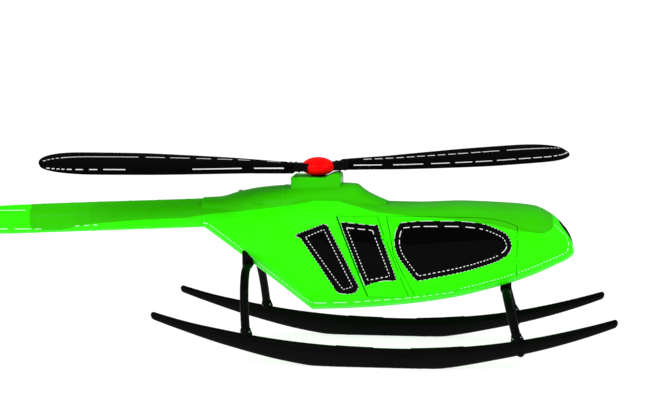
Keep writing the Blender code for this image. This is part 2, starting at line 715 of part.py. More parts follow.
def make_tail():
    """The boom, its top cover, the fin, the stabilizer, the stinger and the gearbox."""
    boom = boom_body("tail_boom", 0.0, bright_paint, hollow=True)
    boom_fit = boom_body("boom fit", TOUCH)
    boom_fit_hull = box("boom front cut", (HULL_AFT - TOUCH, -1, 1), (0, 1, 3))
    stabilizer_body("stabilizer", 0.0, bright_paint)
    cut(boom, boom_fit_hull, stabilizer_body("stabilizer fit", TOUCH))
    cover = prism("shaft_cover", rounded(
        [(-5.44, boom_z(-5.44) + 0.02), (-5.44, boom_z(-5.44) + 0.19), (-4.60, boom_z(-4.60) + 0.214),
         (HULL_AFT - TOUCH, boom_z(HULL_AFT) + 0.214), (HULL_AFT - TOUCH, 1.98)],
        0.02, 2), -0.085, 0.085, paint=bright_paint)
    cut(cover, boom_fit)
    fin = prism("tail_fin", rounded(FIN, 0.05, 3), -FIN_HALF, FIN_HALF, paint=bright_paint)
    cut(fin, boom_fit)
    tube("tail_skid", [(-6.05, 0, 1.05 - TOUCH), (-6.05, 0, 1.0), (-6.075, 0, 0.95),
                       (-6.13, 0, 0.905), (-6.20, 0, 0.88), (-6.30, 0, 0.87)], 0.018, black_paint)
    side = TAIL_ROTOR.y
    gearbox = turned("tail_gearbox", [(0, 0.285), (0.055, 0.285), (0.085, 0.255), (0.095, 0.06),
                                      (0.095, 0.02), (0, 0.02)],
                     (TAIL_ROTOR.x, 0, TAIL_ROTOR.z), (0, 1, 0), grey_metal)
    fin_fit = prism("fin fit", rounded(FIN, 0.05, 3), -FIN_HALF - TOUCH, FIN_HALF + TOUCH)
    bore_radius = TAIL_SHAFT_RADIUS + BORE_PLAY / 2
    bore = turned("tail bore", [(0, side), (bore_radius, side), (bore_radius, 0.20), (0, 0.20)],
                  (TAIL_ROTOR.x, 0, TAIL_ROTOR.z), (0, 1, 0))
    cut(gearbox, boom_fit, fin_fit, bore)


def stabilizer_body(name, grow, paint=None):
    aft, front = STABILIZER_X
    middle, half_chord = (aft + front) / 2, (front - aft) / 2 + grow
    rings = []
    for y, scale in ((-1, 0.5), (-0.97, 0.86), (-0.9, 1), (0.9, 1), (0.97, 0.86), (1, 0.5)):
        ring = []
        for k in range(12):
            angle = 2 * math.pi * k / 12
            across = math.cos(angle) * half_chord * scale
            up = math.sin(angle) * (STABILIZER_THICK / 2 * scale + grow) * (1 + 0.3 * math.cos(angle))
            ring.append((middle + across, y * STABILIZER_HALF_SPAN, STABILIZER_Z + up))
        rings.append(ring)
    return loft(name, rings, paint)


def make_lights():
    """A lamp under the cabin, two position lights on the stabilizer and a beacon on the fin."""
    dome = [(0, 0.035), (0.014, 0.031), (0.023, 0.018), (0.026, 0.0), (0.026, -0.04), (0, -0.04)]
    for side_name, side in SIDES.items():
        lens = red_lens if side_name == "left" else green_lens
        light = turned(f"nav_light_{side_name}", dome,
                       (-4.86, side * (STABILIZER_HALF_SPAN + TOUCH), STABILIZER_Z), (0, side, 0),
                       lens, steps=12)
        cut(light, box(f"nav light cut {side_name}", (-5.2, side * 0.8, 1.5),
                       (-4.5, side * (STABILIZER_HALF_SPAN + TOUCH), 2.0)))
    turned("beacon", [(0, 0.06), (0.02, 0.055), (0.034, 0.035), (0.038, 0.0), (0, 0.0)],
           (-6.18, 0, 2.65 + TOUCH), (0, 0, 1), red_lens, steps=12)
    lamp = turned("landing_light", [(0, 0.09), (0.07, 0.09), (0.075, 0.0), (0.055, -0.02), (0, -0.025)],
                  (2.30, 0.30, 0.922), (0, 0, 1), lamp_glass, steps=16)
    cut(lamp, hull_fit)


def blade_rings(chord_line, thick_line, tip, tip_start, stations, ahead=lambda r: 0.5):
    """Sections of a blade along local X, rounded towards the tip.

    Ahead is the share of the chord that lies in front of local X, the axis the blade is pitched on.
    """
    rings = []
    for r in stations:
        past = max(0.0, (r - tip_start) / (tip - tip_start))
        share = max(1 - past ** TIP_POWER, 0.0) ** (1 / TIP_POWER)
        share = max(share, 0.12)
        chord, thick = float(chord_line(r)) * share, float(thick_line(r)) * max(share, 0.35)
        ring = []
        for k in range(16):
            angle = 2 * math.pi * k / 16
            along = math.cos(angle)
            ring.append((r, chord * (along / 2 + float(ahead(r)) - 0.5),
                         thick / 2 * math.sin(angle) * (1 + 0.3 * along)))
        rings.append(ring)
    return rings


def yoke_body(name, grow, hub, paint=None):
    half = YOKE_BOSS_HALF + grow
    boss = turned(name, [(0, half), (0.09 + grow, half), (0.09 + grow, -half), (0, -half)], (0, 0, 0),
                  paint=paint, parent=hub)
    for k, turn in enumerate((0, math.pi)):
        arm = box(f"{name} arm {k}", (-0.02, -YOKE_HALF_WIDTH - grow, -YOKE_HALF_THICK - grow),
                  (BLADE_ROOT, YOKE_HALF_WIDTH + grow, YOKE_HALF_THICK + grow), parent=hub)
        arm.rotation_euler = (0, -CONING, turn)
        join(boss, arm)
    return boss


def make_main_rotor():
    """The mast, the red hub cap, the yoke and two paddle blades, about the mast's axis."""
    hub = new_empty("main rotor axis", (0, 0, HUB_Z), airframe)
    hub.rotation_euler = (0, 0, ROTOR_AZIMUTH)
    low = -YOKE_BOSS_HALF - TOUCH
    turned("rotor_mast", [(0, low), (MAST_RADIUS - 0.01, low), (MAST_RADIUS, low - 0.01),
                          (MAST_RADIUS, 2.362 - HUB_Z), (0, 2.362 - HUB_Z)], (0, 0, 0),
           paint=steel, parent=hub)
    yoke_body("rotor_yoke", 0.0, hub, black_paint)
    height, bottom = HUB_TOP - HUB_Z, HUB_LOW - HUB_Z
    dome = [(0, height)]
    for k in range(1, 7):
        angle = math.pi / 2 * (1 - k / 6)
        dome.append((HUB_RADIUS * math.cos(angle), height * math.sin(angle)))
    for k in range(1, 4):
        angle = -math.radians(62) * k / 3
        dome.append((HUB_RADIUS * math.cos(angle), bottom * math.sin(angle) / math.sin(math.radians(-62))))
    dome.append((0, bottom))
    cap = turned("hub_cap", dome, (0, 0, 0), paint=red_paint, parent=hub, steps=24)
    mast_hole = turned("mast hole", [(0, 0), (MAST_RADIUS + TOUCH, 0), (MAST_RADIUS + TOUCH, -0.3),
                                     (0, -0.3)], (0, 0, 0), parent=hub)
    cut(cap, yoke_body("yoke fit", TOUCH, hub), mast_hole)
    chord_line, thick_line = smooth_line(BLADE_CHORD), smooth_line(BLADE_THICK)
    tip = ROTOR_RADIUS
    stations = [BLADE_ROOT + TOUCH, 0.6, 1.0, 1.5, 2.0, 2.5, 2.85, BLADE_TIP_START]
    stations += [tip - (tip - BLADE_TIP_START) * share for share in (0.62, 0.38, 0.2, 0.09, 0.02)]
    rings = blade_rings(chord_line, thick_line, tip, BLADE_TIP_START, stations + [tip],
                        smooth_line(BLADE_AHEAD))
    pitches = (("a", math.pi, COLLECTIVE - CYCLIC), ("b", 0.0, COLLECTIVE + CYCLIC))
    for letter, turn, pitch in pitches:
        blade = loft(f"main_blade_{letter}", rings, black_paint, hub)
        turns = Matrix.Rotation(turn, 4, "Z") @ Matrix.Rotation(-CONING, 4, "Y")
        blade.matrix_basis = turns @ Matrix.Rotation(pitch, 4, "X")


def make_tail_rotor():
    """The tail rotor's hub and two blades, about an axis across the boom."""
    hub = new_empty("tail rotor axis", TAIL_ROTOR, airframe)
    turned("tail_rotor_hub", [(0, 0.045), (0.05, 0.042), (TAIL_HUB_RADIUS, 0.02),
                              (TAIL_HUB_RADIUS, -0.02), (TAIL_SHAFT_RADIUS, -0.035),
                              (TAIL_SHAFT_RADIUS, -0.155), (0, -0.155)],
           (0, 0, 0), (0, 1, 0), steel, hub)
    tip = TAIL_ROTOR_RADIUS
    chord = smooth_line([(0.05, 0.09), (0.25, 0.14), (tip, 0.15)])
    thick = smooth_line([(0.05, 0.03), (0.3, 0.024), (tip, 0.018)])
    stations = [0.05, 0.15, 0.25, 0.45, 0.60, 0.66, 0.70, tip]
    rings = blade_rings(chord, thick, tip, 0.60, stations)
    hub_fit = turned("tail hub fit", [(0, 0.2), (TAIL_HUB_RADIUS + TOUCH, 0.2),
                                      (TAIL_HUB_RADIUS + TOUCH, -0.2), (0, -0.2)],
                     (0, 0, 0), (0, 1, 0), parent=hub)
    for letter, turn in (("a", -math.pi / 2), ("b", math.pi / 2)):
        blade = loft(f"tail_blade_{letter}", rings, black_paint, hub)
        lay = Matrix.Rotation(turn, 4, "Y") @ Matrix.Rotation(math.pi / 2 - 0.12, 4, "X")
        blade.matrix_basis = lay
        cut(blade, hub_fit)


def skid_middle(x):
    """The height of a skid's centre line, which rises like a rocker's to both ends."""
    amount, power = SKID_RISE_FRONT if x > SKID_LOW_X else SKID_RISE_AFT
    return SKID_LOW_Z + amount * abs(x - SKID_LOW_X) ** power


def skid_body(name, side, grow=0.0, paint=None):
    """A long rocker, thick in the middle, thin at both ends and planed flat where it stands."""
    thick_line, sole_line = smooth_line(SKID_THICK), smooth_line(SKID_SOLE)
    stations = [SKID_AFT + 0.012, SKID_AFT + 0.04, -1.9, -1.55, -1.2, -0.8, -0.4, -0.1, 0.2, 0.55,
                0.9, 1.25, 1.6, 1.95, 2.3, 2.65, 3.0, 3.35, 3.7, SKID_FRONT - 0.04,
                SKID_FRONT - 0.012]
    rings = []
    ends = {SKID_AFT: 0.35, SKID_AFT + 0.012: 0.72, SKID_FRONT - 0.012: 0.72, SKID_FRONT: 0.35}
    for x in [SKID_AFT] + stations + [SKID_FRONT]:
        thick, sole = float(thick_line(x)), float(sole_line(x))
        middle = skid_middle(x) - sole / 2
        scale = ends.get(x, 1.0)
        width = min(SKID_WIDTH, thick * 1.1)
        ring = []
        for k in range(12):
            across, up = superellipse(2 * math.pi * k / 12, 2.6)
            ring.append((x, side * SKID_Y + width / 2 * across * scale,
                         middle + (thick + sole) / 2 * up * scale))
        rings.append(ring)
    body = loft(name, rings, paint, inset=-grow)
    return cut(body, ground)


def cross_tube(name, profile, ends_x, saddle_y, fits):
    """An arch across the belly from skid to skid, with a saddle under the hull on each side."""
    heights = np.array([z for _, z in profile])
    widths = np.array([y for y, _ in profile])
    steps = np.concatenate([[0], np.cumsum(np.hypot(np.diff(widths), np.diff(heights)))])
    width_line = smooth_line(list(zip(steps, -widths)))
    height_line = smooth_line(list(zip(steps, heights)))
    half = []
    for t in np.linspace(0, steps[-1], 9):
        share = min(1.0, (float(height_line(t)) - heights[0]) / (heights[-1] - heights[0]))
        x = ends_x[0] + (ends_x[1] - ends_x[0]) * share
        half.append((x, -float(width_line(t)), float(height_line(t))))
    points = half + [(x, -y, z) for x, y, z in half[-2::-1]]
    arch = tube(name, points, TUBE_RADIUS, black_paint)
    for side in (1, -1):
        near, far = sorted((side * (saddle_y - 0.05), side * (saddle_y + 0.05)))
        top = heights[-1]
        saddle = box(f"{name} saddle {side}", (ends_x[1] - 0.075, near, top - 0.02),
                     (ends_x[1] + 0.075, far, top + 0.20))
        join(arch, saddle)
    return cut(arch, *fits)


def make_landing_gear():
    fits = [hull_fit]
    for side_name, side in SIDES.items():
        skid_body(f"skid_{side_name}", side, 0.0, black_paint)
        fits.append(skid_body(f"skid fit {side_name}", side, TOUCH))
    cross_tube("cross_tube_front", FRONT_TUBE, FRONT_TUBE_X, 0.36, fits)
    cross_tube("cross_tube_rear", REAR_TUBE, REAR_TUBE_X, 0.30, fits)


def on_floor(x):
    """The height of a piece's underside where it rests on the cabin floor."""
    xs, heights = zip(*FLOOR_LINE)
    return float(np.interp(x, xs, heights)) + TOUCH


def make_cabin():
    """The floor, the seats, the instrument console and the flight controls."""
    floor = hull("cabin_floor", WALL + INNER_FIT, grey_metal)
    under = [(x, z - FLOOR_THICK) for x, z in reversed(FLOOR_LINE)]
    keep(floor, prism("floor slab", FLOOR_LINE + under, -FAR, FAR))
    base = on_floor(0)
    shape = [(1.14, 1.03), (1.68, 1.03), (1.70, 1.10), (1.66, 1.16), (1.30, 1.14), (1.16, 1.72),
             (1.12, 1.78), (1.03, 1.76), (1.02, 1.66)]
    foot = [(1.20, base), (1.45, base), (1.60, on_floor(1.60)), (1.60, 1.05), (1.20, 1.05)]
    for side_name, side in SIDES.items():
        middle = side * SEAT_Y
        seat = prism(f"seat_front_{side_name}", rounded(shape, 0.03, 2), middle - SEAT_HALF,
                     middle + SEAT_HALF, paint=seat_cloth)
        join(seat, prism(f"seat foot {side_name}", foot, middle - 0.075, middle + 0.075))
    bench_back = BULKHEAD_X + BULKHEAD_THICK / 2 + TOUCH
    bench_shape = [(bench_back, base), (bench_back, 1.76), (-0.17, 1.76), (-0.06, 1.16), (0.34, 1.16),
                   (0.36, 1.10), (0.34, base)]
    bench = prism("rear_bench", bench_shape, -0.54, 0.54, paint=seat_cloth)
    keep(bench, cabin_fit)
    console = [(2.35, on_floor(2.35)), (2.62, on_floor(2.62)), (2.66, 1.50), (2.60, 1.56),
               (2.44, 1.54), (2.36, 1.30)]
    panel = prism("instrument_panel", console, -0.15, 0.15, paint=black_paint)
    head = box("instrument head", (2.42, -0.36, 1.34), (2.63, 0.36, 1.54), bevel=0.03)
    join(panel, head)
    pedestal = [(1.75, on_floor(1.75)), (1.90, on_floor(1.90)), (1.90, 1.0), (1.75, 1.0)]
    controls = prism("flight_controls", pedestal, -0.09, 0.09, paint=black_paint)
    for side in (1, -1):
        low, high = sorted((side * 0.05, side * SEAT_Y))
        join(controls, box(f"control bar {side}", (1.80, low, 0.955), (1.85, high, 0.99)))
        y = side * (SEAT_Y - 0.020)
        stick = tube(f"stick {side}", [(1.825, y, 0.97), (1.80, y, 1.1), (1.86, y, 1.30),
                                       (1.84, y, 1.42)], 0.016)
        join(controls, stick)


ground = box("ground", (-3, -3, -1), (5, 3, 0))
cabin_frame, nose_frame = make_hull()
make_fixed_glass()
make_doors(cabin_frame, nose_frame)
make_cowls()
make_tail()
make_lights()
make_main_rotor()
make_tail_rotor()
make_landing_gear()
make_cabin()
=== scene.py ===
# %% [markdown]
# A light turbine helicopter on curved skids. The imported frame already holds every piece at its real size
# and place, as plain faceted solids. This notebook dresses that frame: it makes the fine skins, the
# paint, the glass and the small fittings, and hangs each of them on the body it moves with. Lengths are
# metres, the nose points along +X, the left side is +Y and the ground is z = 0.

# %% Load the frame
import json
import random
from math import acos, atan, ceil, copysign, cos, dist, hypot, pi, radians, sin, sqrt, tan

import bpy
import numpy as np
from mathutils import Matrix, Vector
from mathutils.geometry import delaunay_2d_cdt
from mathutils.kdtree import KDTree


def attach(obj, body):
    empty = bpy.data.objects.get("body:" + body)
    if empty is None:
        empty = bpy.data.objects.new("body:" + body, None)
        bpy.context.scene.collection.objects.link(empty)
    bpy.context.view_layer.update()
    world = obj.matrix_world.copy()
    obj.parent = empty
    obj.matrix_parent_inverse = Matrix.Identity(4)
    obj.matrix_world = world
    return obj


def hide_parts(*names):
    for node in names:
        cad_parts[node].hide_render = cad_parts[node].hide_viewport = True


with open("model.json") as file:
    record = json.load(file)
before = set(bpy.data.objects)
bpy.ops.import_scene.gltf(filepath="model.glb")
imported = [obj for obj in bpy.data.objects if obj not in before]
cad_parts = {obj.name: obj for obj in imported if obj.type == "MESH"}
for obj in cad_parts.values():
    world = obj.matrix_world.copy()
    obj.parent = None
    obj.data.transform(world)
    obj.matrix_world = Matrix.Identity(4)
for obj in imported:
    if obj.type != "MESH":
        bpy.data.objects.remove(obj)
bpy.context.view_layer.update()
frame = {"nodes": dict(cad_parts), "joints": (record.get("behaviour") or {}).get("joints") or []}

joints = {joint["name"]: joint["pos_m"] for joint in frame["joints"]}
MAST_X, _, HUB_Z = joints["main_rotor_spin"]
SIDES = {"left": 1, "right": -1}
scene = bpy.context.scene
print("nodes:", len(frame["nodes"]), "mast at x =", MAST_X)

# %% [markdown]
# Most places are given from the rotor mast, since the drawing was measured from there. Three short
# helpers turn such numbers into a place, a shift and a turn.


# %% Places
def spot(x, y, z):
    """A place, with x measured from the rotor mast."""
    return Vector((MAST_X + x, y, z))


def shift(x, y, z):
    return Matrix.Translation((x, y, z))


def turn_by(angle, axis):
    return Matrix.Rotation(angle, 4, axis)


def new_object(name, data):
    made = bpy.data.objects.new(name, data)
    scene.collection.objects.link(made)
    return made


def look_at(obj, place, target):
    obj.location = place
    obj.rotation_euler = (target - obj.location).to_track_quat("-Z", "Y").to_euler()


AT_MAST = shift(MAST_X, 0, 0)
UPRIGHT = AT_MAST @ turn_by(pi / 2, "X")
print("the mast stands at", spot(0, 0, HUB_Z))

# %% [markdown]
# The drawing was seen from the right, a little towards the nose and a little from above. A long lens far
# away gives its weak perspective. The focal length is known in pixels of the drawing, so it is turned
# into millimetres of a 36 mm wide sensor.

# %% Camera
IMAGE_WIDTH = 648
SENSOR_WIDTH = 36
FOCAL_PIXELS = 1434
CAMERA_DISTANCE = 20
CAMERA_TURN = radians(6)
CAMERA_RISE = radians(7)
aim = spot(0.084, 0, 2.12)
away = Vector((sin(CAMERA_TURN), -cos(CAMERA_TURN), 0)) * cos(CAMERA_RISE)
away.z = sin(CAMERA_RISE)
camera = new_object("camera", bpy.data.cameras.new("camera"))
camera.data.lens = FOCAL_PIXELS / IMAGE_WIDTH * SENSOR_WIDTH
camera.data.sensor_width = SENSOR_WIDTH
camera.data.clip_end = 200
look_at(camera, aim + away * CAMERA_DISTANCE, aim)
scene.camera = camera
print("lens, mm:", round(camera.data.lens, 2), "camera at", [round(c, 2) for c in camera.location])

# %% [markdown]
# Shader maths reads best as ordinary sums, so a small class wraps a node's output and lets Python's
# operators add the Math nodes. A second class holds one finish: its material, its shader, and one method
# that adds any other node.


# %% Sockets that do sums
def operator(operation):
    """An operator's two methods: for a wire on its left, and for one on its right alone."""
    return (lambda self, other: self.sum(operation, self, other),
            lambda self, other: self.sum(operation, other, self))


class Wire:
    """One output of a node in a finish."""

    def __init__(self, finish, socket):
        self.finish = finish
        self.socket = socket

    def sum(self, operation, *values):
        return self.finish.node("ShaderNodeMath", {"operation": operation}, dict(enumerate(values)))

    __add__, __radd__ = operator("ADD")
    __sub__, __rsub__ = operator("SUBTRACT")
    __mul__, __rmul__ = operator("MULTIPLY")
    __truediv__, __rtruediv__ = operator("DIVIDE")

    def zigzag(self):
        """Falls from 0.5 to 0 and rises again once in every unit."""
        return self.sum("ABSOLUTE", self.sum("FRACT", self) - 0.5)

    def sine(self):
        return self.sum("SINE", self)

    def step(self, low, high):
        """0 below low, 1 above high, smooth between them."""
        return self.finish.node("ShaderNodeMapRange", {"interpolation_type": "SMOOTHSTEP"},
                                {"Value": self, "From Min": low, "From Max": high})


class Finish:
    """A material with a Principled shader, and the record's slot that it stands for."""

    def __init__(self, name, slot, **values):
        self.material = bpy.data.materials.new(name)
        self.material.use_nodes = True
        self.slot = slot
        self.nodes = self.material.node_tree.nodes
        self.set(**values)

    def set(self, **values):
        """Gives the shader's sockets their values or wires; an underscore stands for a space."""
        for name, value in values.items():
            self.connect(self.nodes["Principled BSDF"].inputs[name.replace("_", " ")], value)
        return self

    def connect(self, socket, value):
        if isinstance(value, Wire):
            self.material.node_tree.links.new(value.socket, socket)
        elif isinstance(value, tuple) and socket.type == "RGBA":
            socket.default_value = (*value, 1)
        else:
            socket.default_value = value

    def node(self, kind, settings=None, inputs=None, output=0):
        """Adds a node: its settings first, then the values or wires of its inputs."""
        node = self.nodes.new(kind)
        for name, value in (settings or {}).items():
            setattr(node, name, value)
        for name, value in (inputs or {}).items():
            self.connect(node.inputs[name], value)
        return Wire(self, node.outputs[output])

    def place(self):
        """The point in the frame at rest, as x, y and z wires and as one vector wire."""
        where = self.node("ShaderNodeTexCoord", output="Object")
        apart = self.node("ShaderNodeSeparateXYZ", inputs={0: where}).socket.node
        return [Wire(self, out) for out in apart.outputs] + [where]

    def mix(self, share, first, second):
        return self.node("ShaderNodeMix", {"data_type": "RGBA"}, {0: share, 6: first, 7: second}, 2)

    def noise(self, scale, detail=3, where=None, stretch=None):
        """Soft noise from 0 to 1, in cells of about 1 / scale metres."""
        where = where or self.place()[3]
        if stretch:
            where = self.node("ShaderNodeVectorMath", {"operation": "MULTIPLY"}, {0: where, 1: stretch})
        return self.node("ShaderNodeTexNoise", inputs={"Vector": where, "Scale": scale, "Detail": detail})

    def ramp(self, value, stops):
        made = self.node("ShaderNodeValToRGB", inputs={0: value})
        elements = made.socket.node.color_ramp.elements
        while len(elements) < len(stops):
            elements.new(1)
        for element, (position, level) in zip(elements, stops):
            element.position = position
            element.color = (level, level, level, 1)
        return made

    def bump(self, height, distance, strength):
        """Makes the normal follow a height, in metres by its distance."""
        return self.set(Normal=self.node("ShaderNodeBump", inputs={
            "Height": height, "Distance": distance, "Strength": strength}))


print("socket maths ready")

# %% [markdown]
# The studio is plain: a white sweep of floor, an even white surround, one large soft lamp on the camera's
# side and weaker ones from the nose and from behind. The surround is bright for the camera, dimmer as a
# light and dimmer still in reflections, so the background stays white while gloss paint and black parts
# keep their depth.

# %% Studio
SURROUND_SEEN = 1
SURROUND_LIGHT = 0.86
SURROUND_MIRRORED = 0.16
scene.view_settings.view_transform = "Standard"
world = bpy.data.worlds.new("studio surround")
world.use_nodes = True
scene.world = world
nodes, link = world.node_tree.nodes, world.node_tree.links.new
light_path = nodes.new("ShaderNodeLightPath").outputs
lit = nodes.new("ShaderNodeMapRange")
lit.inputs["To Min"].default_value = SURROUND_LIGHT
lit.inputs["To Max"].default_value = SURROUND_MIRRORED
link(light_path["Is Glossy Ray"], lit.inputs["Value"])
brightness = nodes.new("ShaderNodeMapRange")
brightness.inputs["To Max"].default_value = SURROUND_SEEN
link(lit.outputs["Result"], brightness.inputs["To Min"])
link(light_path["Is Camera Ray"], brightness.inputs["Value"])
nodes["Background"].inputs["Color"].default_value = (1, 1, 1, 1)
link(brightness.outputs["Result"], nodes["Background"].inputs["Strength"])


def soft_lamp(name, place, size, power, mirrored=True):
    lamp = new_object(name, bpy.data.lights.new(name, "AREA"))
    lamp.data.size = size
    lamp.data.energy = power
    lamp.visible_glossy = mirrored
    look_at(lamp, place, aim)


soft_lamp("key lamp", spot(-6, -14, 11), 9.0, 700)
soft_lamp("nose lamp", spot(13, -7, 8), 7.0, 250)
soft_lamp("back lamp", spot(-4, 13, 10), 8.0, 260, mirrored=False)
print("lamps:", len(bpy.data.lights))

# %% [markdown]
# Painted aircraft skin is colour under a clear coat. A very fine ripple, called orange peel, breaks up
# its reflections. The roof band is a darker green with a hand-run lower edge. Its height is a ramp along
# the helicopter, so one smooth step crosses every panel without a seam.

# %% Greens
BRIGHT_GREEN = (0.033, 1, 0)
DARK_GREEN = (0.033, 0.59, 0)
FADED_BRIGHT = (0.04, 0.93, 0.004)
FADED_DARK = (0.035, 0.54, 0.002)
BAND_START = -4.2
BAND_LENGTH = 7.6
BAND_TOP = 3
BAND_SOFTNESS = 0.006
BAND_EDGE = [
    (-4.11, 2.4), (-4.105, 1.78), (-4.075, 1.69), (-3.99, 1.66), (-3.66, 1.655), (-3.5, 1.7),
    (-3.18, 1.763), (-2.47, 1.832), (-1.85, 1.867), (-1.44, 1.94), (-1.22, 1.965), (-0.55, 2.062),
    (0, 2.163), (0.33, 2.163), (0.87, 2.025), (1.38, 1.985), (1.92, 1.96), (2.41, 1.9),
    (2.73, 1.82), (3.09, 1.78), (3.22, 1.84), (3.27, 2.4)]


def painted(name, slot, colour=None, gloss=0.3, coat=0.03):
    """Gloss paint over primer: two greens by height, or one colour all over."""
    finish = Finish(name, slot, Coat_Weight=coat, Coat_Roughness=0.06, Specular_IOR_Level=0.03)
    x, y, z, where = finish.place()
    tone = finish.noise(2.3, 4, where)
    if colour:
        faded = tuple(channel * 0.9 for channel in colour)
    else:
        along = (x - (MAST_X + BAND_START)) / BAND_LENGTH
        edge = finish.ramp(along, [((a - BAND_START) / BAND_LENGTH, b / BAND_TOP) for a, b in BAND_EDGE])
        dark = (z - edge * BAND_TOP).step(-BAND_SOFTNESS, BAND_SOFTNESS)
        colour = finish.mix(dark, BRIGHT_GREEN, DARK_GREEN)
        faded = finish.mix(dark, FADED_BRIGHT, FADED_DARK)
    finish.set(Base_Color=finish.mix(tone.step(0.45, 0.75), colour, faded),
               Roughness=gloss + tone.step(0.35, 0.8) * 0.06)
    peel = finish.noise(260, 1, where) * 0.4 + finish.noise(90, 1, where) * 0.6
    return finish.bump(peel, 0.0002, 0.35)


skin_paint = painted("green skin paint", "bright_green_paint")
roof_paint = painted("green roof paint", "dark_green_paint")
hub_red = painted("red hub enamel", "red_paint", (1.0, 0.0, 0.0), coat=0.12)
print("paints:", skin_paint.material.name, hub_red.material.name)

# %% [markdown]
# Real black parts are not one flat black. Landings scrape the skid soles to dull steel, the tubes carry a
# satin powder coat, and dust leaves streaks along the composite blades.

# %% Blacks
BLACK = (0.0012, 0.0012, 0.0013)
DUSTY_BLACK = (0.0032, 0.0032, 0.0034)
BARE_STEEL = (0.22, 0.22, 0.23)
SOLE_HEIGHT = 0.02


def satin_black(name, rough, grain=420.0, slot="black_paint", sole=False, streak=None, shine=0.06):
    finish = Finish(name, slot, Specular_IOR_Level=shine)
    x, y, z, where = finish.place()
    patch = finish.noise(7, 5, where, streak)
    finish.set(Roughness=rough + (patch - 0.5) * 0.22,
               Base_Color=finish.mix(patch.step(0.5, 0.85), BLACK, DUSTY_BLACK))
    if sole:
        scraped = ((SOLE_HEIGHT - z).step(0, SOLE_HEIGHT) * finish.noise(30, 6, where)).step(0.3, 0.55)
        finish.set(Metallic=scraped, Base_Color=finish.mix(scraped, BLACK, BARE_STEEL))
    return finish.bump(finish.noise(grain, 2, where), 0.0003, 0.3)


skid_black = satin_black("scraped skid black", 0.4, sole=True)
tube_black = satin_black("powder coated black", 0.45, 700.0)
blade_black = satin_black("blade composite black", 0.6, 900.0, streak=(0.4, 3.0, 3.0), shine=0.02)
gasket_black = satin_black("window rubber", 0.62, 1500.0)
trim_black = satin_black("moulded black plastic", 0.55, 1100.0, "black_plastic")
print("blacks ready")

# %% [markdown]
# Turned and drawn steel has fine lines along one direction, so stretched noise changes its roughness.
# Cast and sheet aluminium are duller and blotchy. The cabin's floor mat is ribbed.


# %% Metals
def metal(name, slot, colour, rough, metallic=1, stretch=(40, 40, 4), lines=20):
    finish = Finish(name, slot, Metallic=metallic)
    where = finish.place()[3]
    brushed = finish.noise(lines, 4, where, stretch)
    stain = finish.noise(9, 4, where).step(0.45, 0.8)
    finish.set(Roughness=rough + (brushed - 0.5) * 0.25,
               Base_Color=finish.mix(stain, colour, tuple(channel * 0.7 for channel in colour)))
    return finish.bump(brushed, 0.0002, 0.25)


EVEN = (1, 1, 1)
MAT_GREY = (0.02, 0.02, 0.021)
MAT_WORN = (0.045, 0.044, 0.042)
bright_steel = metal("turned steel", "steel", (0.5, 0.51, 0.52), 0.3)
dull_alloy = metal("dull alloy", "grey_metal", (0.13, 0.135, 0.14), 0.5, 0.6, EVEN, 60.0)
engine_metal = metal("cast engine case", "engine_metal", (0.12, 0.12, 0.12), 0.6, 0.7, EVEN, 35.0)
burnt_steel = metal("heat stained steel", "steel", (0.3, 0.25, 0.21), 0.42, 1.0, (4.0, 40.0, 40.0))
floor_mat = Finish("ribbed floor mat", "grey_metal", Roughness=0.8)
x, y, z, where = floor_mat.place()
worn = floor_mat.noise(14, 5, where)
floor_mat.set(Base_Color=floor_mat.mix(worn.step(0.5, 0.8), MAT_GREY, MAT_WORN))
floor_mat.bump((y * 50).zigzag().step(0.18, 0.34) + worn * 0.2, 0.002, 0.6)
print("metals ready")

# %% [markdown]
# By day, a tinted pane of acrylic reflects the sky and lets very little light back out, and nothing shows
# through the drawing's windows. So the pane is painted nearly black, smooth, and barely see-through: its
# black is partly the tint and partly painted shade, standing for the dim cabin behind it. Lamp lenses are
# clear or coloured plastic.

# %% Glass and lenses
# The pane's near-black colour is partly the tint and partly painted shade of the dim cabin behind it.
tint_and_painted_shade_pane = Finish("tinted acrylic", "tinted_glass", Base_Color=(0.0012, 0.0012, 0.0014),
                     Specular_IOR_Level=0.03, Alpha=0.985)
tint_and_painted_shade_pane.set(Roughness=0.035 + tint_and_painted_shade_pane.noise(5, 5).step(0.5, 0.8) * 0.05)


def lens(name, slot, colour, glow=0):
    finish = Finish(name, slot, Base_Color=colour, Transmission_Weight=0.55, Emission_Color=colour,
                    Emission_Strength=glow)
    x, y, z, where = finish.place()
    finish.set(Roughness=0.08 + finish.noise(40, 3, where) * 0.1)
    return finish.bump((z * 160).zigzag(), 0.001, 0.5)


clear_lens = lens("clear lamp lens", "lamp_glass", (0.9, 0.9, 0.86))
red_glass = lens("red lens", "red_lens", (0.8, 0.02, 0.02), 0.1)
green_glass = lens("green lens", "green_lens", (0.02, 0.6, 0.1), 0.1)
print("finishes so far:", len(bpy.data.materials))

# %% [markdown]
# Seat covers are woven cloth: two sine waves at right angles, multiplied, give its basket look. The
# headliner inside the shells is a paler felt, and the pinstripes are plain white tape.


# %% Cloth, felt and tape
def woven(name, slot, dark, light, thread=0.004, sheen=0.3):
    finish = Finish(name, slot, Sheen_Weight=sheen, Specular_IOR_Level=0.2)
    x, y, z, where = finish.place()
    turn = 2 * pi / thread
    weave = (y * turn).sine() * ((x + z) * turn).sine() * 0.5 + 0.5
    fleck = finish.noise(320, 2, where)
    finish.set(Base_Color=finish.mix(weave * 0.6 + fleck * 0.4, dark, light),
               Roughness=0.85 + fleck * 0.1)
    return finish.bump(weave * 0.7 + fleck * 0.3, 0.0008, 0.7)


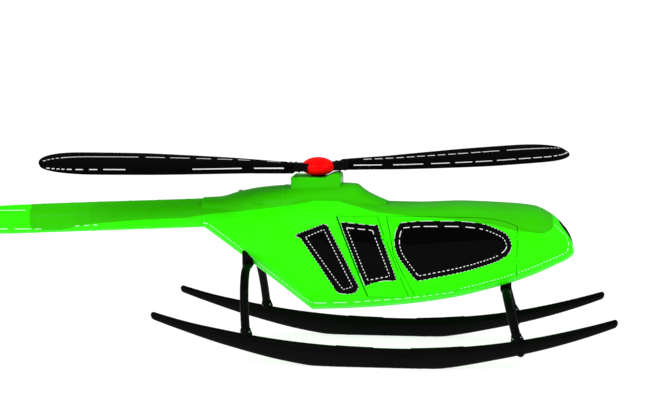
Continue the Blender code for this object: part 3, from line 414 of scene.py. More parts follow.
seat_cloth = woven("woven seat cloth", "seat_cloth", (0.012, 0.012, 0.014), (0.05, 0.05, 0.055))
belt_web = woven("belt webbing", "seat_cloth", (0.02, 0.02, 0.02), (0.09, 0.09, 0.095), 0.0025)
headliner = woven("headliner felt", "grey_metal", (0.16, 0.165, 0.17), (0.24, 0.245, 0.25), 0.003, 0.5)
white_tape = Finish("white tape", "black_paint", Roughness=0.35)
white_tape.set(Base_Color=white_tape.mix(white_tape.noise(25, 4).step(0.4, 0.9), (0.92, 0.92, 0.92),
                                         (0.8, 0.8, 0.78)))
print("finishes:", len(bpy.data.materials))

# %% [markdown]
# Every piece ends the same way: a mesh of points and faces that gets a finish, rides on a body, and may
# stand for one of the frame's plain nodes. One helper does that. Faces are shaded smooth, and edges
# sharper than a set angle are kept crisp.

# %% Making a piece
made_triangles = {}


def mesh_of(name, points, faces):
    mesh = bpy.data.meshes.new(name)
    mesh.from_pydata([tuple(point) for point in points], [], [tuple(face) for face in faces])
    return mesh


def piece(name, points, faces, finish, body="airframe", replaces=None, sharp=38, inside=None, lined=()):
    """A mesh piece; the faces numbered in lined get the inside finish."""
    mesh = mesh_of(name, points, faces)
    mesh.materials.append(finish.material)
    if inside:
        mesh.materials.append(inside.material)
        for k in lined:
            mesh.polygons[k].material_index = 1
    mesh.update()
    mesh.shade_smooth()
    mesh.set_sharp_from_angle(angle=radians(sharp))
    obj = new_object(name, mesh)
    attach(obj, body)
    if replaces:
        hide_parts(replaces)
    made_triangles[name] = sum(len(face) - 2 for face in faces)
    return obj


def tell(word):
    """Prints how many pieces have a word in their names, and their triangles."""
    counts = [count for name, count in made_triangles.items() if word in name]
    print(word, "pieces:", len(counts), "triangles:", sum(counts))


class Shapes:
    """Points and faces of several closed bodies that will be one piece."""

    def __init__(self):
        self.points = []
        self.faces = []

    def add(self, body, place=Matrix.Identity(4)):
        start = len(self.points)
        self.points += [place @ Vector(point) for point in body[0]]
        self.faces += [[start + i for i in face] for face in body[1]]
        return self

    def make(self, name, finish, body="airframe", replaces=None, sharp=38):
        return piece(name, self.points, self.faces, finish, body, replaces, sharp)


print("piece helpers ready")

# %% [markdown]
# Four basic bodies cover most fittings. A loft joins rings of points and closes its ends; a turned body
# spins a profile; a slab gives a flat outline a thickness with rounded rims; and a rod follows a path.
# Each gives a body of points and faces, so many small bodies can share one piece.


# %% Basic bodies
def angles(count, shift_by=0):
    return [2 * pi * (k + shift_by) / count for k in range(count)]


def squared(angle, power):
    """A point on a circle that is pushed towards a square by its power."""
    along, up = np.cos(angle), np.sin(angle)
    reach = (np.abs(along) ** power + np.abs(up) ** power) ** (-1 / power)
    return along * reach, up * reach


def outward(points, faces):
    """A body with its faces turned to point out."""
    volume = sum(points[face[0]].dot(points[face[i]].cross(points[face[i + 1]]))
                 for face in faces for i in range(1, len(face) - 1))
    return points, [tuple(face) if volume >= 0 else tuple(reversed(face)) for face in faces]


def loft(rings, closed=False):
    """A body through rings of equal length; the ends are closed by flat caps."""
    count = len(rings[0])
    rows = [range(r * count, (r + 1) * count) for r in range(len(rings))]
    faces = [(low[i], low[(i + 1) % count], high[(i + 1) % count], high[i])
             for low, high in zip(rows, rows[1:] + (rows[:1] if closed else [])) for i in range(count)]
    if not closed:
        faces += [rows[0][::-1], rows[-1]]
    return outward([Vector(point) for ring in rings for point in ring], faces)


def turned(profile, steps=48):
    """A body spun about Z from (radius, height) points."""
    points, rows = [], []
    for radius, height in profile:
        start = len(points)
        rows.append([start + (k if radius else 0) for k in range(steps)])
        points += [Vector((radius * cos(a), radius * sin(a), height))
                   for a in angles(steps)[:None if radius else 1]]
    faces = []
    open_ended = profile[0][0] > 0 or profile[-1][0] > 0
    for low, high in zip(rows, rows[1:] + (rows[:1] if open_ended else [])):
        for k in range(steps):
            j = (k + 1) % steps
            face = tuple(dict.fromkeys((low[k], low[j], high[j], high[k])))
            if len(face) > 2:
                faces.append(face)
    return outward(points, faces)


def shrink_outline(outline, distance):
    """The outline moved inwards by a distance, or outwards where it is negative."""
    flat = [Vector(point) for point in outline]
    after = flat[1:] + flat[:1]
    turn = copysign(1, sum(here.x * there.y - there.x * here.y for here, there in zip(flat, after)))
    shrunk = []
    for i, here in enumerate(flat):
        sides = ((here - flat[i - 1]).normalized(), (after[i] - here).normalized())
        first, second = (Vector((-side.y, side.x)) * turn for side in sides)
        mitre = (first + second).normalized()
        shrunk.append(tuple(here + mitre * distance / max(mitre.dot(first), 0.5)))
    return shrunk


def rounded(outline, radius, steps=6):
    """The outline with each corner replaced by a curve."""
    points = []
    for i in range(len(outline)):
        before, corner, after = (Vector(outline[(i + k) % len(outline)]) for k in (-1, 0, 1))
        first, second = before - corner, after - corner
        reach = min(radius / tan(first.angle(second) / 2), 0.45 * first.length, 0.45 * second.length)
        start, end = (corner + side.normalized() * reach for side in (first, second))
        for k in range(steps + 1):
            t = k / steps
            points.append(tuple(start * (1 - t) ** 2 + corner * 2 * t * (1 - t) + end * t * t))
    return points


def box_outline(u0, v0, u1, v1):
    return [(u0, v0), (u1, v0), (u1, v1), (u0, v1)]


def slab(outline, low, high, bevel=0.004, steps=3):
    """A flat outline (u, v) between two heights, with rims rounded by the bevel."""
    rings = []
    for side, level in ((-1, low), (1, high)):
        for k in range(steps + 1)[::-side]:
            angle = pi / 2 * k / steps
            rise = level - side * bevel * (1 - cos(angle))
            ring = shrink_outline(outline, bevel * (1 - sin(angle))) if k < steps else outline
            rings.append([(u, v, rise) for u, v in ring])
    return loft(rings)


def oblong(length, width, steps=8):
    """The outline of a bar with half-round ends, centred on the origin."""
    half, radius = length / 2 - width / 2, width / 2
    turns = [pi * (k / steps - 0.5) for k in range(steps + 1)]
    return [(side * (half + radius * cos(a)), side * radius * sin(a))
            for side in (1, -1) for a in turns]


def rod(path, radius, sides=12, flat=1, up=Vector((0, 0, 1))):
    """A round or flattened bar along a path, with rounded ends; radius may be a list."""
    path = [Vector(point) for point in path]
    radii = radius if isinstance(radius, list) else [radius] * len(path)
    round_end = [(0.98, 0.2), (0.7, 0.71), (0.35, 0.94)]
    rings = []
    for i, point in enumerate(path):
        ahead = (path[min(i + 1, len(path) - 1)] - path[max(i - 1, 0)]).normalized()
        side = ahead.cross(up)
        side = side.normalized() if side.length > 1e-3 else ahead.orthogonal().normalized()
        lift = side.cross(ahead).normalized()
        ends = [(-along, share) for along, share in round_end] if i == 0 else []
        ends += [(0, 1)] + (round_end[::-1] if i == len(path) - 1 else [])
        for along, share in ends:
            centre = point + ahead * along * radii[i] * flat
            rings.append([centre + (side * cos(a) + lift * sin(a) * flat) * radii[i] * share
                          for a in angles(sides)])
    return loft(rings)


def facing(place, normal, along=Vector((1, 0, 0))):
    """A frame at a place: Z along the normal, X as near to a direction as it can be."""
    z = Vector(normal).normalized()
    x = (along - z * along.dot(z)).normalized()
    return Matrix.Translation(place) @ Matrix((x, z.cross(x), z)).transposed().to_4x4()


print("points of a turned cone:", len(turned([(0, 0), (1, 0), (0, 1)], 8)[0]))

# %% [markdown]
# Long smooth lines come from a few points each. One kind of curve gives a value at every x and never
# overshoots its points, and another bends freely through places in space. Straps, laps and treads are all
# one band: a flat strip whose section has bevelled upper edges.


# %% Lines and bands
def smooth_line(points):
    """A curve through (x, value) points that never overshoots them."""
    xs, values = np.array(points, float).T
    steps = np.diff(xs)
    slopes = np.diff(values) / steps
    tangents = np.zeros(len(xs))
    tangents[0], tangents[-1] = slopes[0], slopes[-1]
    for i in range(1, len(xs) - 1):
        before, after = slopes[i - 1], slopes[i]
        if before * after > 0:
            first, second = 2 * steps[i] + steps[i - 1], steps[i] + 2 * steps[i - 1]
            tangents[i] = (first + second) / (first / before + second / after)

    def value(x):
        i = np.clip(np.searchsorted(xs, x) - 1, 0, len(xs) - 2)
        t = np.clip((x - xs[i]) / steps[i], 0, 1)
        rise = (values[i + 1] - values[i]) * t * t * (3 - 2 * t)
        lean = steps[i] * t * (1 - t) * (tangents[i] * (1 - t) - tangents[i + 1] * t)
        return values[i] + rise + lean

    return value


def bent(p0, p1, p2, p3, steps):
    """Places from p1 up to p2 on a free curve that also minds the places before and after."""
    return [0.5 * (2 * p1 + (p2 - p0) * t + (2 * p0 - 5 * p1 + 4 * p2 - p3) * t * t
                   + (3 * p1 - p0 - 3 * p2 + p3) * t ** 3) for t in np.arange(steps) / steps]


def lengths_along(points):
    return np.append(0, np.cumsum(np.linalg.norm(np.diff(np.array(points), axis=0), axis=1)))


def smooth_path(points, count):
    """Evenly spaced places on a free curve through places given from the mast."""
    points = [spot(*point) for point in points]
    points = [points[0] * 2 - points[1]] + points + [points[-1] * 2 - points[-2]]
    dense = [place for four in zip(points, points[1:], points[2:], points[3:]) for place in bent(*four, 16)]
    dense.append(points[-2])
    lengths = lengths_along(dense)
    marks = np.linspace(0, lengths[-1], count)
    return [Vector(place) for place in zip(*(np.interp(marks, lengths, row) for row in np.array(dense).T))]


def band(half, sunk, proud, bevel=0.002, flank=0.001):
    """The (across, up) points of a strap's section."""
    return [(-half, -sunk), (half, -sunk), (half, proud - flank), (half - bevel, proud),
            (bevel - half, proud), (-half, proud - flank)]


TAPE_RISE = 0.0009
TAPE_SUNK = 0.0015


def tape_strip(point_at, start, end, width, step=0.05, rise=TAPE_RISE):
    """A thin closed strip along a surface: point_at(s) gives a place, its side way and its normal."""
    rings = []
    for s in np.linspace(start, end, max(1, ceil((end - start) / step)) + 1):
        place, side_way, normal = point_at(s)
        rings.append([place + side_way * u + normal * v
                      for u, v in box_outline(-width / 2, -TAPE_SUNK, width / 2, rise)])
    return loft(rings)


print("basic bodies ready")

# %% [markdown]
# Fasteners repeat by the hundred, so each kind is a tiny low body that a loop copies. A rivet is a
# shallow dome, a cowl screw a flat one, and a bolt is a washer under a six-sided head.

# %% Fasteners
RIVET_RADIUS = 0.0045
RIVET_SPACING = 0.055
rivet_body = turned([(0, 0.0018), (RIVET_RADIUS * 0.7, 0.0012), (RIVET_RADIUS, -0.001), (0, -0.001)], 8)
screw_body = turned([(0, 0.0022), (0.006, 0.0022), (0.008, 0.001), (0.008, -0.002), (0, -0.002)], 12)


def add_bolt(shapes, place, radius=0.012):
    rim = radius * 1.4
    washer = [(0, 0.003), (radius * 1.3, 0.003), (rim, 0.001), (rim, -0.002), (0, -0.002)]
    head = [(0, radius), (radius * 0.85, radius), (radius, radius * 0.85), (radius, 0.002), (0, 0.002)]
    shapes.add(turned(washer, 20), place).add(turned(head, 6), place)


print("rivet faces:", len(rivet_body[1]))

# %% [markdown]
# The fuselage is one smooth teardrop. Three lines give it: the roof and the belly seen from the side, and
# half the width seen from above. At each station the section is a superellipse, a circle that has been
# pushed towards a rounded square. The same lines shape the frame's solid hull, so the fine skin made here
# lies on it.

# %% Hull lines, from the rotor mast
HULL_AFT = -1.62
HULL_NOSE = 3.53
KEEL_X = -0.042
KEEL_Z = 0.609
DIAGONAL_END = (-1.587, 1.705)
BOOM_RADIUS = 0.193
BOOM_FRONT_Z = 1.908
WALL = 0.04
AFT_WALL = 0.02
WAIST = 0.48
roof_line = smooth_line([
    (HULL_AFT, BOOM_FRONT_Z + BOOM_RADIUS), (-1.1, 2.12), (-0.5, 2.16), (0, 2.2), (0.4, 2.19),
    (0.95, 2.092), (1.4, 2.085), (2, 2.108), (2.5, 2.095), (2.98, 2.065), (3.25, 1.945),
    (3.4, 1.8), (3.49, 1.66), (HULL_NOSE, 1.52)])
belly_front = smooth_line([
    (KEEL_X, KEEL_Z), (0.62, 0.65), (1.38, 0.733), (1.92, 0.827), (2.48, 0.977), (2.87, 1.105),
    (3.26, 1.274), (3.51, 1.42), (HULL_NOSE, 1.45)])
half_width = smooth_line([
    (HULL_AFT, BOOM_RADIUS), (-1, 0.4), (-0.5, 0.62), (0, 0.725), (0.5, 0.75), (1.5, 0.755),
    (2.2, 0.74), (2.7, 0.7), (3, 0.645), (3.25, 0.565), (3.4, 0.48), (3.49, 0.38),
    (HULL_NOSE, 0.22)])
top_power = smooth_line(
    [(HULL_AFT, 2), (-0.6, 2.6), (0, 3.6), (2.4, 3.8), (3.2, 3), (HULL_NOSE, 2.4)])
bottom_power = smooth_line([(HULL_AFT, 2), (-0.5, 2.4), (0, 3), (2.4, 3), (HULL_NOSE, 2.4)])
DIAGONAL_SLOPE = (DIAGONAL_END[1] - KEEL_Z) / (DIAGONAL_END[0] - KEEL_X)


def belly_line(x):
    rise = np.minimum(KEEL_Z + DIAGONAL_SLOPE * (x - KEEL_X), BOOM_FRONT_Z - BOOM_RADIUS)
    return np.where(x >= KEEL_X, belly_front(x), rise)


def section(x):
    """Top, bottom and middle height of the hull at x."""
    top, bottom = roof_line(x), belly_line(x)
    behind = np.clip((KEEL_X - x) / (KEEL_X - HULL_AFT), 0, 1)
    return top, bottom, bottom + (WAIST + (0.5 - WAIST) * behind) * (top - bottom)


def half_section(x, upper):
    """Height and squareness of the section's upper or lower half at x."""
    top, bottom, middle = section(x)
    return np.where(upper, top - middle, middle - bottom), np.where(upper, top_power(x), bottom_power(x))


def hull_points(x, turn):
    """Points of the skin at stations x and turns, measured from the roof's middle over the left."""
    x, turn = np.broadcast_arrays(np.asarray(x, float), np.asarray(turn, float))
    height, power = half_section(x, np.cos(turn) >= 0)
    up, across = squared(turn, power)
    return np.stack([x + MAST_X, half_width(x) * across, section(x)[2] + height * up], -1)


def hull_turn(x, z, side):
    """The turn at which the skin is at height z, on the left (1) or the right (-1)."""
    middle = section(x)[2]
    height, power = half_section(x, z >= middle)
    up = np.clip((z - middle) / height, -0.9999, 0.9999)
    turn = np.arctan2((1 - np.abs(up) ** power) ** (1 / power), up)
    return turn if side > 0 else 2 * pi - turn


print("hull width, m:", round(2 * float(half_width(1.5)), 3), "height, m:",
      round(float(roof_line(1.4) - belly_line(1.4)), 3))

# %% [markdown]
# The openings are outlines seen from the side: two doors with their windows, one fixed window behind
# them, and two windscreens seen from the front. Each window has a broad rubber frame, so a smaller
# outline inside it marks the frame's inner lip.

# %% Outlines of panels, from the rotor mast
DOOR_GAP = 0.008
SWING_ROOM = 0.01
HINGE_SLOPE = 0.392
REAR_DOOR_TOP = 1.985
REAR_DOOR_BOTTOM = 0.885
BULKHEAD_X = -0.3
NOSE_JOINT_X = 2.748
FRAME_BAND = 0.082
SCREEN_BAND = 0.045
ROOF_EDGE = [
    (BULKHEAD_X, 1.9935), (2.2, 1.9935), (2.45, 1.97), (2.6, 1.932), (2.75, 1.872),
    (2.98, 1.8), (3.16, 1.8), (3.24, 1.88), (3.265, 2.02)]
FRONT_DOOR = [
    (1, 1.985), (1.06, 1.74), (1.1, 1.5), (1.215, 1.25), (1.36, 0.98), (1.385, 0.905),
    (1.9, 0.985), (2.45, 1.13), (2.74, 1.21), (2.74, 1.88), (2.6, 1.93), (2.45, 1.965),
    (2.2, 1.985)]
FRONT_WINDOW = [
    (1.185, 1.909), (1.423, 1.933), (1.713, 1.94), (2.002, 1.941), (2.274, 1.914), (2.443, 1.862),
    (2.596, 1.784), (2.662, 1.677), (2.667, 1.571), (2.584, 1.471), (2.416, 1.384), (2.011, 1.258),
    (1.45, 1.133), (1.399, 1.14), (1.313, 1.248), (1.175, 1.436), (1.119, 1.574), (1.108, 1.693),
    (1.128, 1.811)]
FRONT_SHARP = (0, 12, 13)
REAR_WINDOW = [
    (0.386, 1.911), (0.428, 1.912), (0.815, 1.874), (0.885, 1.88), (1.014, 1.518), (1.144, 1.15),
    (1.112, 1.125), (0.983, 1.125), (0.822, 1.093), (0.757, 1.053), (0.716, 1.046), (0.704, 1.068),
    (0.543, 1.477), (0.388, 1.87)]
REAR_LIP = [(0.357, 1.918), (0.863, 1.871), (1.149, 1.142), (0.712, 1.05)]
AFT_WINDOW = [
    (-0.222, 1.735), (-0.047, 1.807), (0.148, 1.884), (0.2, 1.877), (0.423, 1.458), (0.637, 1.033),
    (0.587, 0.944), (0.494, 0.921), (0.385, 0.928), (0.342, 0.939), (0.097, 1.314), (-0.165, 1.682),
    (-0.215, 1.688), (-0.236, 1.712)]
AFT_LIP = [(-0.2, 1.725), (0.19, 1.901), (0.651, 0.996), (0.394, 0.909)]
WINDSCREEN = [(0.035, 1.58), (0.23, 1.58), (0.29, 1.65), (0.28, 1.81), (0.23, 1.87), (0.035, 1.885)]
hinge_low, hinge_high = (0.915 + HINGE_SLOPE * (1.871 - z) for z in (REAR_DOOR_BOTTOM, REAR_DOOR_TOP))


def rear_door(room):
    return [(0.325 + room, REAR_DOOR_TOP), (0.69 + room, 1.04), (0.745 + room, 0.9),
            (0.77 + room, REAR_DOOR_BOTTOM), (hinge_low, REAR_DOOR_BOTTOM), (hinge_high, REAR_DOOR_TOP)]


def curved(outline, sharp):
    """A smooth closed outline through the points, with the corners numbered in sharp kept."""
    points = []
    for i in range(len(outline)):
        j = (i + 1) % len(outline)
        p0, p1, p2, p3 = (Vector(outline[(i + k) % len(outline)]) for k in (-1, 0, 1, 2))
        points += bent(p1 * 2 - p2 if i in sharp else p0, p1, p2, p2 * 2 - p1 if j in sharp else p3, 5)
    return [tuple(point) for point in points]


front_outline = curved(FRONT_WINDOW, FRONT_SHARP)
window_outlines = {"front": front_outline, "rear": rounded(REAR_WINDOW, 0.015, 3),
                   "aft": rounded(AFT_WINDOW, 0.015, 3), "screen": rounded(WINDSCREEN, 0.035)}
lip_outlines = {"front": front_outline, "rear": REAR_LIP, "aft": AFT_LIP, "screen": WINDSCREEN}
windows = {}
for place, outline in window_outlines.items():
    lip = shrink_outline(lip_outlines[place], SCREEN_BAND if place == "screen" else FRAME_BAND)
    windows[place] = (outline, lip if place == "front" else rounded(lip, 0.035))
panels = {
    "front doorway": shrink_outline(FRONT_DOOR, -DOOR_GAP),
    "front door": FRONT_DOOR,
    "rear doorway": shrink_outline(rear_door(0.0), -DOOR_GAP),
    "rear door": rear_door(SWING_ROOM),
}
print("outlines:", len(windows) * 2 + len(panels))

# %% [markdown]
# The skin is one sheet, unrolled to a flat map: one direction runs along the hull and the other around
# it. On that map every opening is a line, and a constrained triangulation fills the rest with even
# triangles that stop exactly at those lines. Rolled up again, the map becomes the hull, and each panel,
# door, pane or rubber frame is the triangles inside its outline.

# %% Unrolling the hull
GRID = 0.042
AROUND = 0.7
SAMPLES = 600
CUT_SPACING = 0.022
NOSE_SEARCH = 2.6
along_x = HULL_AFT + (HULL_NOSE - HULL_AFT) * np.sin(np.linspace(0, pi / 2, SAMPLES))
along_u = np.append(0, np.cumsum(np.hypot(np.diff(along_x), 0.5 * np.abs(np.diff(roof_line(along_x))))
                                 + 0.35 * np.abs(np.diff(half_width(along_x)))))


def to_map(x, turn):
    return np.stack([np.interp(x, along_x, along_u), np.asarray(turn) * AROUND], -1)


def close_up(outline):
    """The closed outline's x and z, with points no further apart than the cut spacing."""
    points = []
    for first, second in zip(outline, outline[1:] + outline[:1]):
        count = max(1, ceil(dist(first, second) / CUT_SPACING))
        points += list(np.linspace(first, second, count, endpoint=False))
    return np.array(points).T


def nose_x(y, z):
    """The stations near the nose where the skin passes over (y, z) seen from the front."""
    low, high = np.full(len(y), NOSE_SEARCH), np.full(len(y), HULL_NOSE)
    for _ in range(40):
        x = (low + high) / 2
        middle = section(x)[2]
        height, power = half_section(x, z >= middle)
        inside = np.abs(y / half_width(x)) ** power + np.abs((z - middle) / height) ** power < 1
        low, high = np.where(inside, x, low), np.where(inside, high, x)
    return low


flat_points, flat_edges = [], []


def add_line(line, closed=False):
    """A line that the triangles of the map have to follow."""
    start = len(flat_points)
    flat_points.extend(tuple(point) for point in line)
    flat_edges.extend((start + k, start + k + 1) for k in range(len(line) - 1))
    if closed:
        flat_edges.append((start + len(line) - 1, start))


for side in SIDES.values():
    for outline in [*panels.values(), *windows["front"], *windows["rear"], *windows["aft"]]:
        x, z = close_up(outline)
        add_line(to_map(x, hull_turn(x, z, side)), True)
    for outline in windows["screen"]:
        y, z = close_up(outline)
        x = nose_x(y, z)
        add_line(to_map(x, hull_turn(x, z, side)), True)
    open_edge = ROOF_EDGE + [(3.268, 2.2)]
    x, z = close_up(open_edge)[:, :-ceil(dist(open_edge[-1], open_edge[0]) / CUT_SPACING)]
    x, z = (row[z < roof_line(x) - 1e-4] for row in (x, z))
    turns = hull_turn(x, z, side)
    reach = np.linspace(turns[-1], 0 if side > 0 else 2 * pi, 30)[1:]
    add_line(to_map(np.append(x, np.full(29, x[-1])), np.append(turns, reach)))
for x in (HULL_AFT, BULKHEAD_X, KEEL_X, DIAGONAL_END[0], NOSE_JOINT_X, HULL_NOSE):
    add_line(to_map(np.full(141, x), np.linspace(0, 2 * pi, 141)))
print("points on cuts:", len(flat_points), "map length, m:", round(float(along_u[-1]), 3))

# %% Triangulating the map
MAP_WIDTH = 2 * pi * AROUND
row_count, column_count = round(along_u[-1] / GRID), round(MAP_WIDTH / GRID)
row_u = np.linspace(0, along_u[-1], row_count + 1)
for edge in (0, MAP_WIDTH):
    add_line([(u, edge) for u in row_u])
near = KDTree(len(flat_points))
for k, (u, v) in enumerate(flat_points):
    near.insert((u, v, 0), k)
near.balance()
for r, u in enumerate(row_u[1:-1]):
    for c in range(1, column_count):
        v = (c + (0.5 if r % 2 else 0) - 0.25) / column_count * MAP_WIDTH
        if near.find((u, v, 0))[2] > GRID * 0.42:
            flat_points.append((u, v))
flat, _, map_faces, *_ = delaunay_2d_cdt([Vector(p) for p in flat_points], flat_edges, [], 0, 1e-5)
flat = np.array(flat)
map_faces = np.array([face for face in map_faces if len(face) == 3])
stations, turns = np.interp(flat[:, 0], along_u, along_x), flat[:, 1] / AROUND
skin_points = hull_points(stations, turns)
print("map points:", len(flat), "triangles:", len(map_faces))

# %% [markdown]
# Two things close the sheet. The map's two long edges meet along the roof's middle, so their points are
# made the same. The nose tip is a small flat, which one fan of triangles covers. Then each point gets a
# normal, the average of the faces around it.

# %% Rolling the hull up
_, first_same, number = np.unique(np.round(skin_points, 5) + 0, axis=0, return_index=True,
                                  return_inverse=True)
weld = first_same[number.reshape(-1)]
skin_faces = weld[map_faces]
skin_faces = skin_faces[(skin_faces != np.roll(skin_faces, 1, axis=1)).all(axis=1)]
tip_ring = sorted({k for k in weld if stations[k] > HULL_NOSE - 1e-6}, key=lambda k: turns[k])
tip = len(skin_points)
skin_points = np.vstack([skin_points, skin_points[tip_ring].mean(axis=0)])
skin_faces = np.vstack([skin_faces, [(tip, b, a) for a, b in zip(tip_ring, tip_ring[1:] + tip_ring[:1])]])
corners = skin_points[skin_faces]
face_normals = np.cross(corners[:, 1] - corners[:, 0], corners[:, 2] - corners[:, 0])
skin_normals = np.zeros_like(skin_points)
for k in range(3):
    np.add.at(skin_normals, skin_faces[:, k], face_normals)
skin_normals /= np.maximum(np.linalg.norm(skin_normals, axis=1), 1e-12)[:, None]
print("skin triangles:", len(skin_faces))

# %% [markdown]
# A panel takes the sheet's triangles that lie inside its outline, and gets a thickness. Two narrow rows
# of faces roll its rim over, because that small round catches the light along a gap.


# %% Cutting panels from the skin
def inside(outline, u, v):
    """Which of the points (u, v) lie inside the outline."""
    hit = np.zeros(len(u), bool)
    for (u1, v1), (u2, v2) in zip(outline, outline[1:] + outline[:1]):
        if v1 != v2:
            hit ^= ((v1 > v) != (v2 > v)) & (u < (u2 - u1) * (v - v1) / (v2 - v1) + u1)
    return hit


face_x, face_y, face_z = (corners.mean(axis=1) - [MAST_X, 0, 0]).T


def seen_inside(outline, side=0):
    """Faces inside an outline seen from the side; side 0 means both sides."""
    return inside(outline, face_x, face_z) & (face_y * side >= 0)


def screen_inside(outline, side):
    return inside([(side * y, z) for y, z in outline], face_y, face_z) & (face_x > 3)


def panel(name, chosen, finish, body="airframe", replaces=None, lift=0.0, thick=WALL, edge=0.0025,
          gap=0.0006, lining=None):
    """A closed piece of the skin: raised by lift, thick downwards, with a rolled rim."""
    used, faces = np.unique(skin_faces[chosen], return_inverse=True)
    faces = [tuple(face) for face in faces.reshape(-1, 3)]
    points, normals = skin_points[used], skin_normals[used]
    pairs = {pair for a, b, c in faces for pair in ((a, b), (b, c), (c, a))}
    rim = [(a, b) for a, b in pairs if (b, a) not in pairs]
    inward = np.zeros_like(points)
    for a, b in rim:
        across = np.cross(normals[a], points[b] - points[a])
        inward[[a, b]] += across / max(np.linalg.norm(across), 1e-12)
    length = np.maximum(np.linalg.norm(inward, axis=1), 1e-9)[:, None]
    inward *= np.minimum(2 / length, 1.4) / length
    on_rim = sorted({k for pair in rim for k in pair})
    depth = thick(points)[:, None] if callable(thick) else thick
    rows = [points + inward * (gap + edge * share) + normals * (lift - down) for share, down in (
        (1, 0), (0.3, 0.3 * edge), (0, edge), (0, depth))]
    count, order = len(points), {k: n for n, k in enumerate(on_rim)}
    starts = (0, count, count + len(on_rim), count + 2 * len(on_rim))

    def number(row, k):
        return starts[row] + (order[k] if row in (1, 2) else k)

    walls = [(number(row, b), number(row, a), number(row + 1, a), number(row + 1, b))
             for a, b in rim for row in range(3)]
    underside = [tuple(starts[3] + k for k in face[::-1]) for face in faces]
    lined = range(len(faces) + len(walls), 2 * len(faces) + len(walls)) if lining else ()
    return piece(name, np.vstack([rows[0], rows[1][on_rim], rows[2][on_rim], rows[3]]),
                 faces + walls + underside, finish, body, replaces, inside=lining, lined=lined)


print("largest skin face, cm2:", round(float(np.linalg.norm(face_normals, axis=1).max()) / 2 * 1e4, 1))

# %% [markdown]
# Now the hull comes apart into its real pieces: the cabin, nose, roof and tail shells stay put, and four
# doors ride on their hinges. All are lined inside: with felt, except the tail cone, which is lined with dull
# alloy. The rear door is thinned towards its sill, as a real one is, so that its inner corner clears the
# sill when it swings.

# %% Shells and doors
in_roof = seen_inside(ROOF_EDGE + [(ROOF_EDGE[-1][0], 2.6), (ROOF_EDGE[0][0], 2.6)])
in_front_way, in_rear_way = seen_inside(panels["front doorway"]), seen_inside(panels["rear doorway"])
in_aft_window = seen_inside(windows["aft"][0])
in_screens = screen_inside(windows["screen"][0], 1) | screen_inside(windows["screen"][0], -1)
ahead, behind = face_x > NOSE_JOINT_X, face_x < BULKHEAD_X
walls = ~in_roof & ~in_front_way
panel("cabin_skin", ~ahead & ~behind & walls & ~in_rear_way & ~in_aft_window, skin_paint,
      replaces="cabin_shell", lining=headliner)
panel("nose_skin", ahead & walls & ~in_screens, skin_paint, replaces="nose_shell", lining=headliner)
panel("roof_skin", in_roof & ~in_front_way, roof_paint, replaces="roof_panel", lining=headliner)
panel("tail_cone_skin", behind, skin_paint, replaces="aft_fuselage", thick=AFT_WALL, lining=dull_alloy)


def door_depth(points):
    return WALL * np.clip((points[:, 2] - REAR_DOOR_BOTTOM) / 0.25 + 0.35, 0.35, 1)


for hand, side in SIDES.items():
    for place, thick in (("front", WALL), ("rear", door_depth)):
        chosen = seen_inside(panels[f"{place} door"], side) & ~seen_inside(windows[place][0], side)
        panel(f"{place}_door_skin_{hand}", chosen, skin_paint, f"{place}_{hand}_door",
              f"door_{place}_{hand}", thick=thick, lining=headliner)
tell("skin")

# %% [markdown]
# Each window is a thin curved pane, set a little under the skin. The rubber frame lies over its edge and
# stands a little proud of the paint.

# %% Panes and rubber frames
PANE_DEPTH = 0.007
PANE_THICK = 0.006
FRAME_PROUD = 0.003
FRAME_THICK = 0.03
for hand, side in SIDES.items():
    for place, body, node in (("front", f"front_{hand}_door", "glass_front"),
                              ("rear", f"rear_{hand}_door", "glass_rear"),
                              ("aft", "airframe", "aft_window"), ("screen", "airframe", "windscreen")):
        find = screen_inside if place == "screen" else seen_inside
        whole, clear = (find(outline, side) for outline in windows[place])
        panel(f"{place}_pane_{hand}", clear, tint_and_painted_shade_pane, body, f"{node}_{hand}", -PANE_DEPTH,
              PANE_THICK, 0.001, -0.012)
        panel(f"{place}_rubber_{hand}", whole & ~clear, gasket_black, body, None, FRAME_PROUD,
              FRAME_THICK, 0.006, 0.0004)
tell("pane")

# %% [markdown]
# Two sheet cowls cover the gearbox and the engine. They are half rounds that meet at a joint. A lower
# edge folded outwards is a flange, which is screwed to the roof. Each arch starts where the cowl's curve
# meets the skin, so no gap shows along the roof.

# %% Cowls
COWL_JOINT_X = -0.45
COWL_END_X = 0.97
COWL_BASE = 2
COWL_POWER = 2.6
COWL_SHEET = 0.006
COWL_STEPS = 44
FLANGE_WIDTH = 0.024
FLANGE_RISE = 0.0035
cowl_top = smooth_line([
    (HULL_AFT, 2.137), (-1.39, 2.15), (-1.1, 2.23), (-0.79, 2.29), (-0.365, 2.325), (0, 2.335),
    (0.35, 2.362), (0.545, 2.352), (0.615, 2.3), (0.715, 2.232), (COWL_END_X, 2.118)])
cowl_width = smooth_line([
    (HULL_AFT, 0.17), (-1.3, 0.24), (-0.9, 0.37), (-0.4, 0.45), (0.3, 0.44), (0.7, 0.37),
    (COWL_END_X, 0.28)])


def roof_height(x, y):
    """Height of the skin's upper side at (x, y)."""
    height, power = half_section(x, True)
    up = (1 - min(abs(y) / half_width(x), 1) ** power) ** (1 / power)
    return float(section(x)[2] + height * up)


def cowl_arch(x, inset=0):
    """Points over the cowl from its right foot to its left foot, both on the skin."""
    top, half = float(cowl_top(x)) - inset, float(cowl_width(x)) - inset

    def over(angle):
        across, up = squared(angle, COWL_POWER)
        return half * across, COWL_BASE + (top - COWL_BASE) * up

    low, high = 0, pi / 2
    for _ in range(30):
        angle = (low + high) / 2
        y, z = over(angle)
        low, high = (angle, high) if z < roof_height(x, y) - 0.001 else (low, angle)
    return [over(angle) for angle in np.linspace(pi - high, high, COWL_STEPS + 1)]


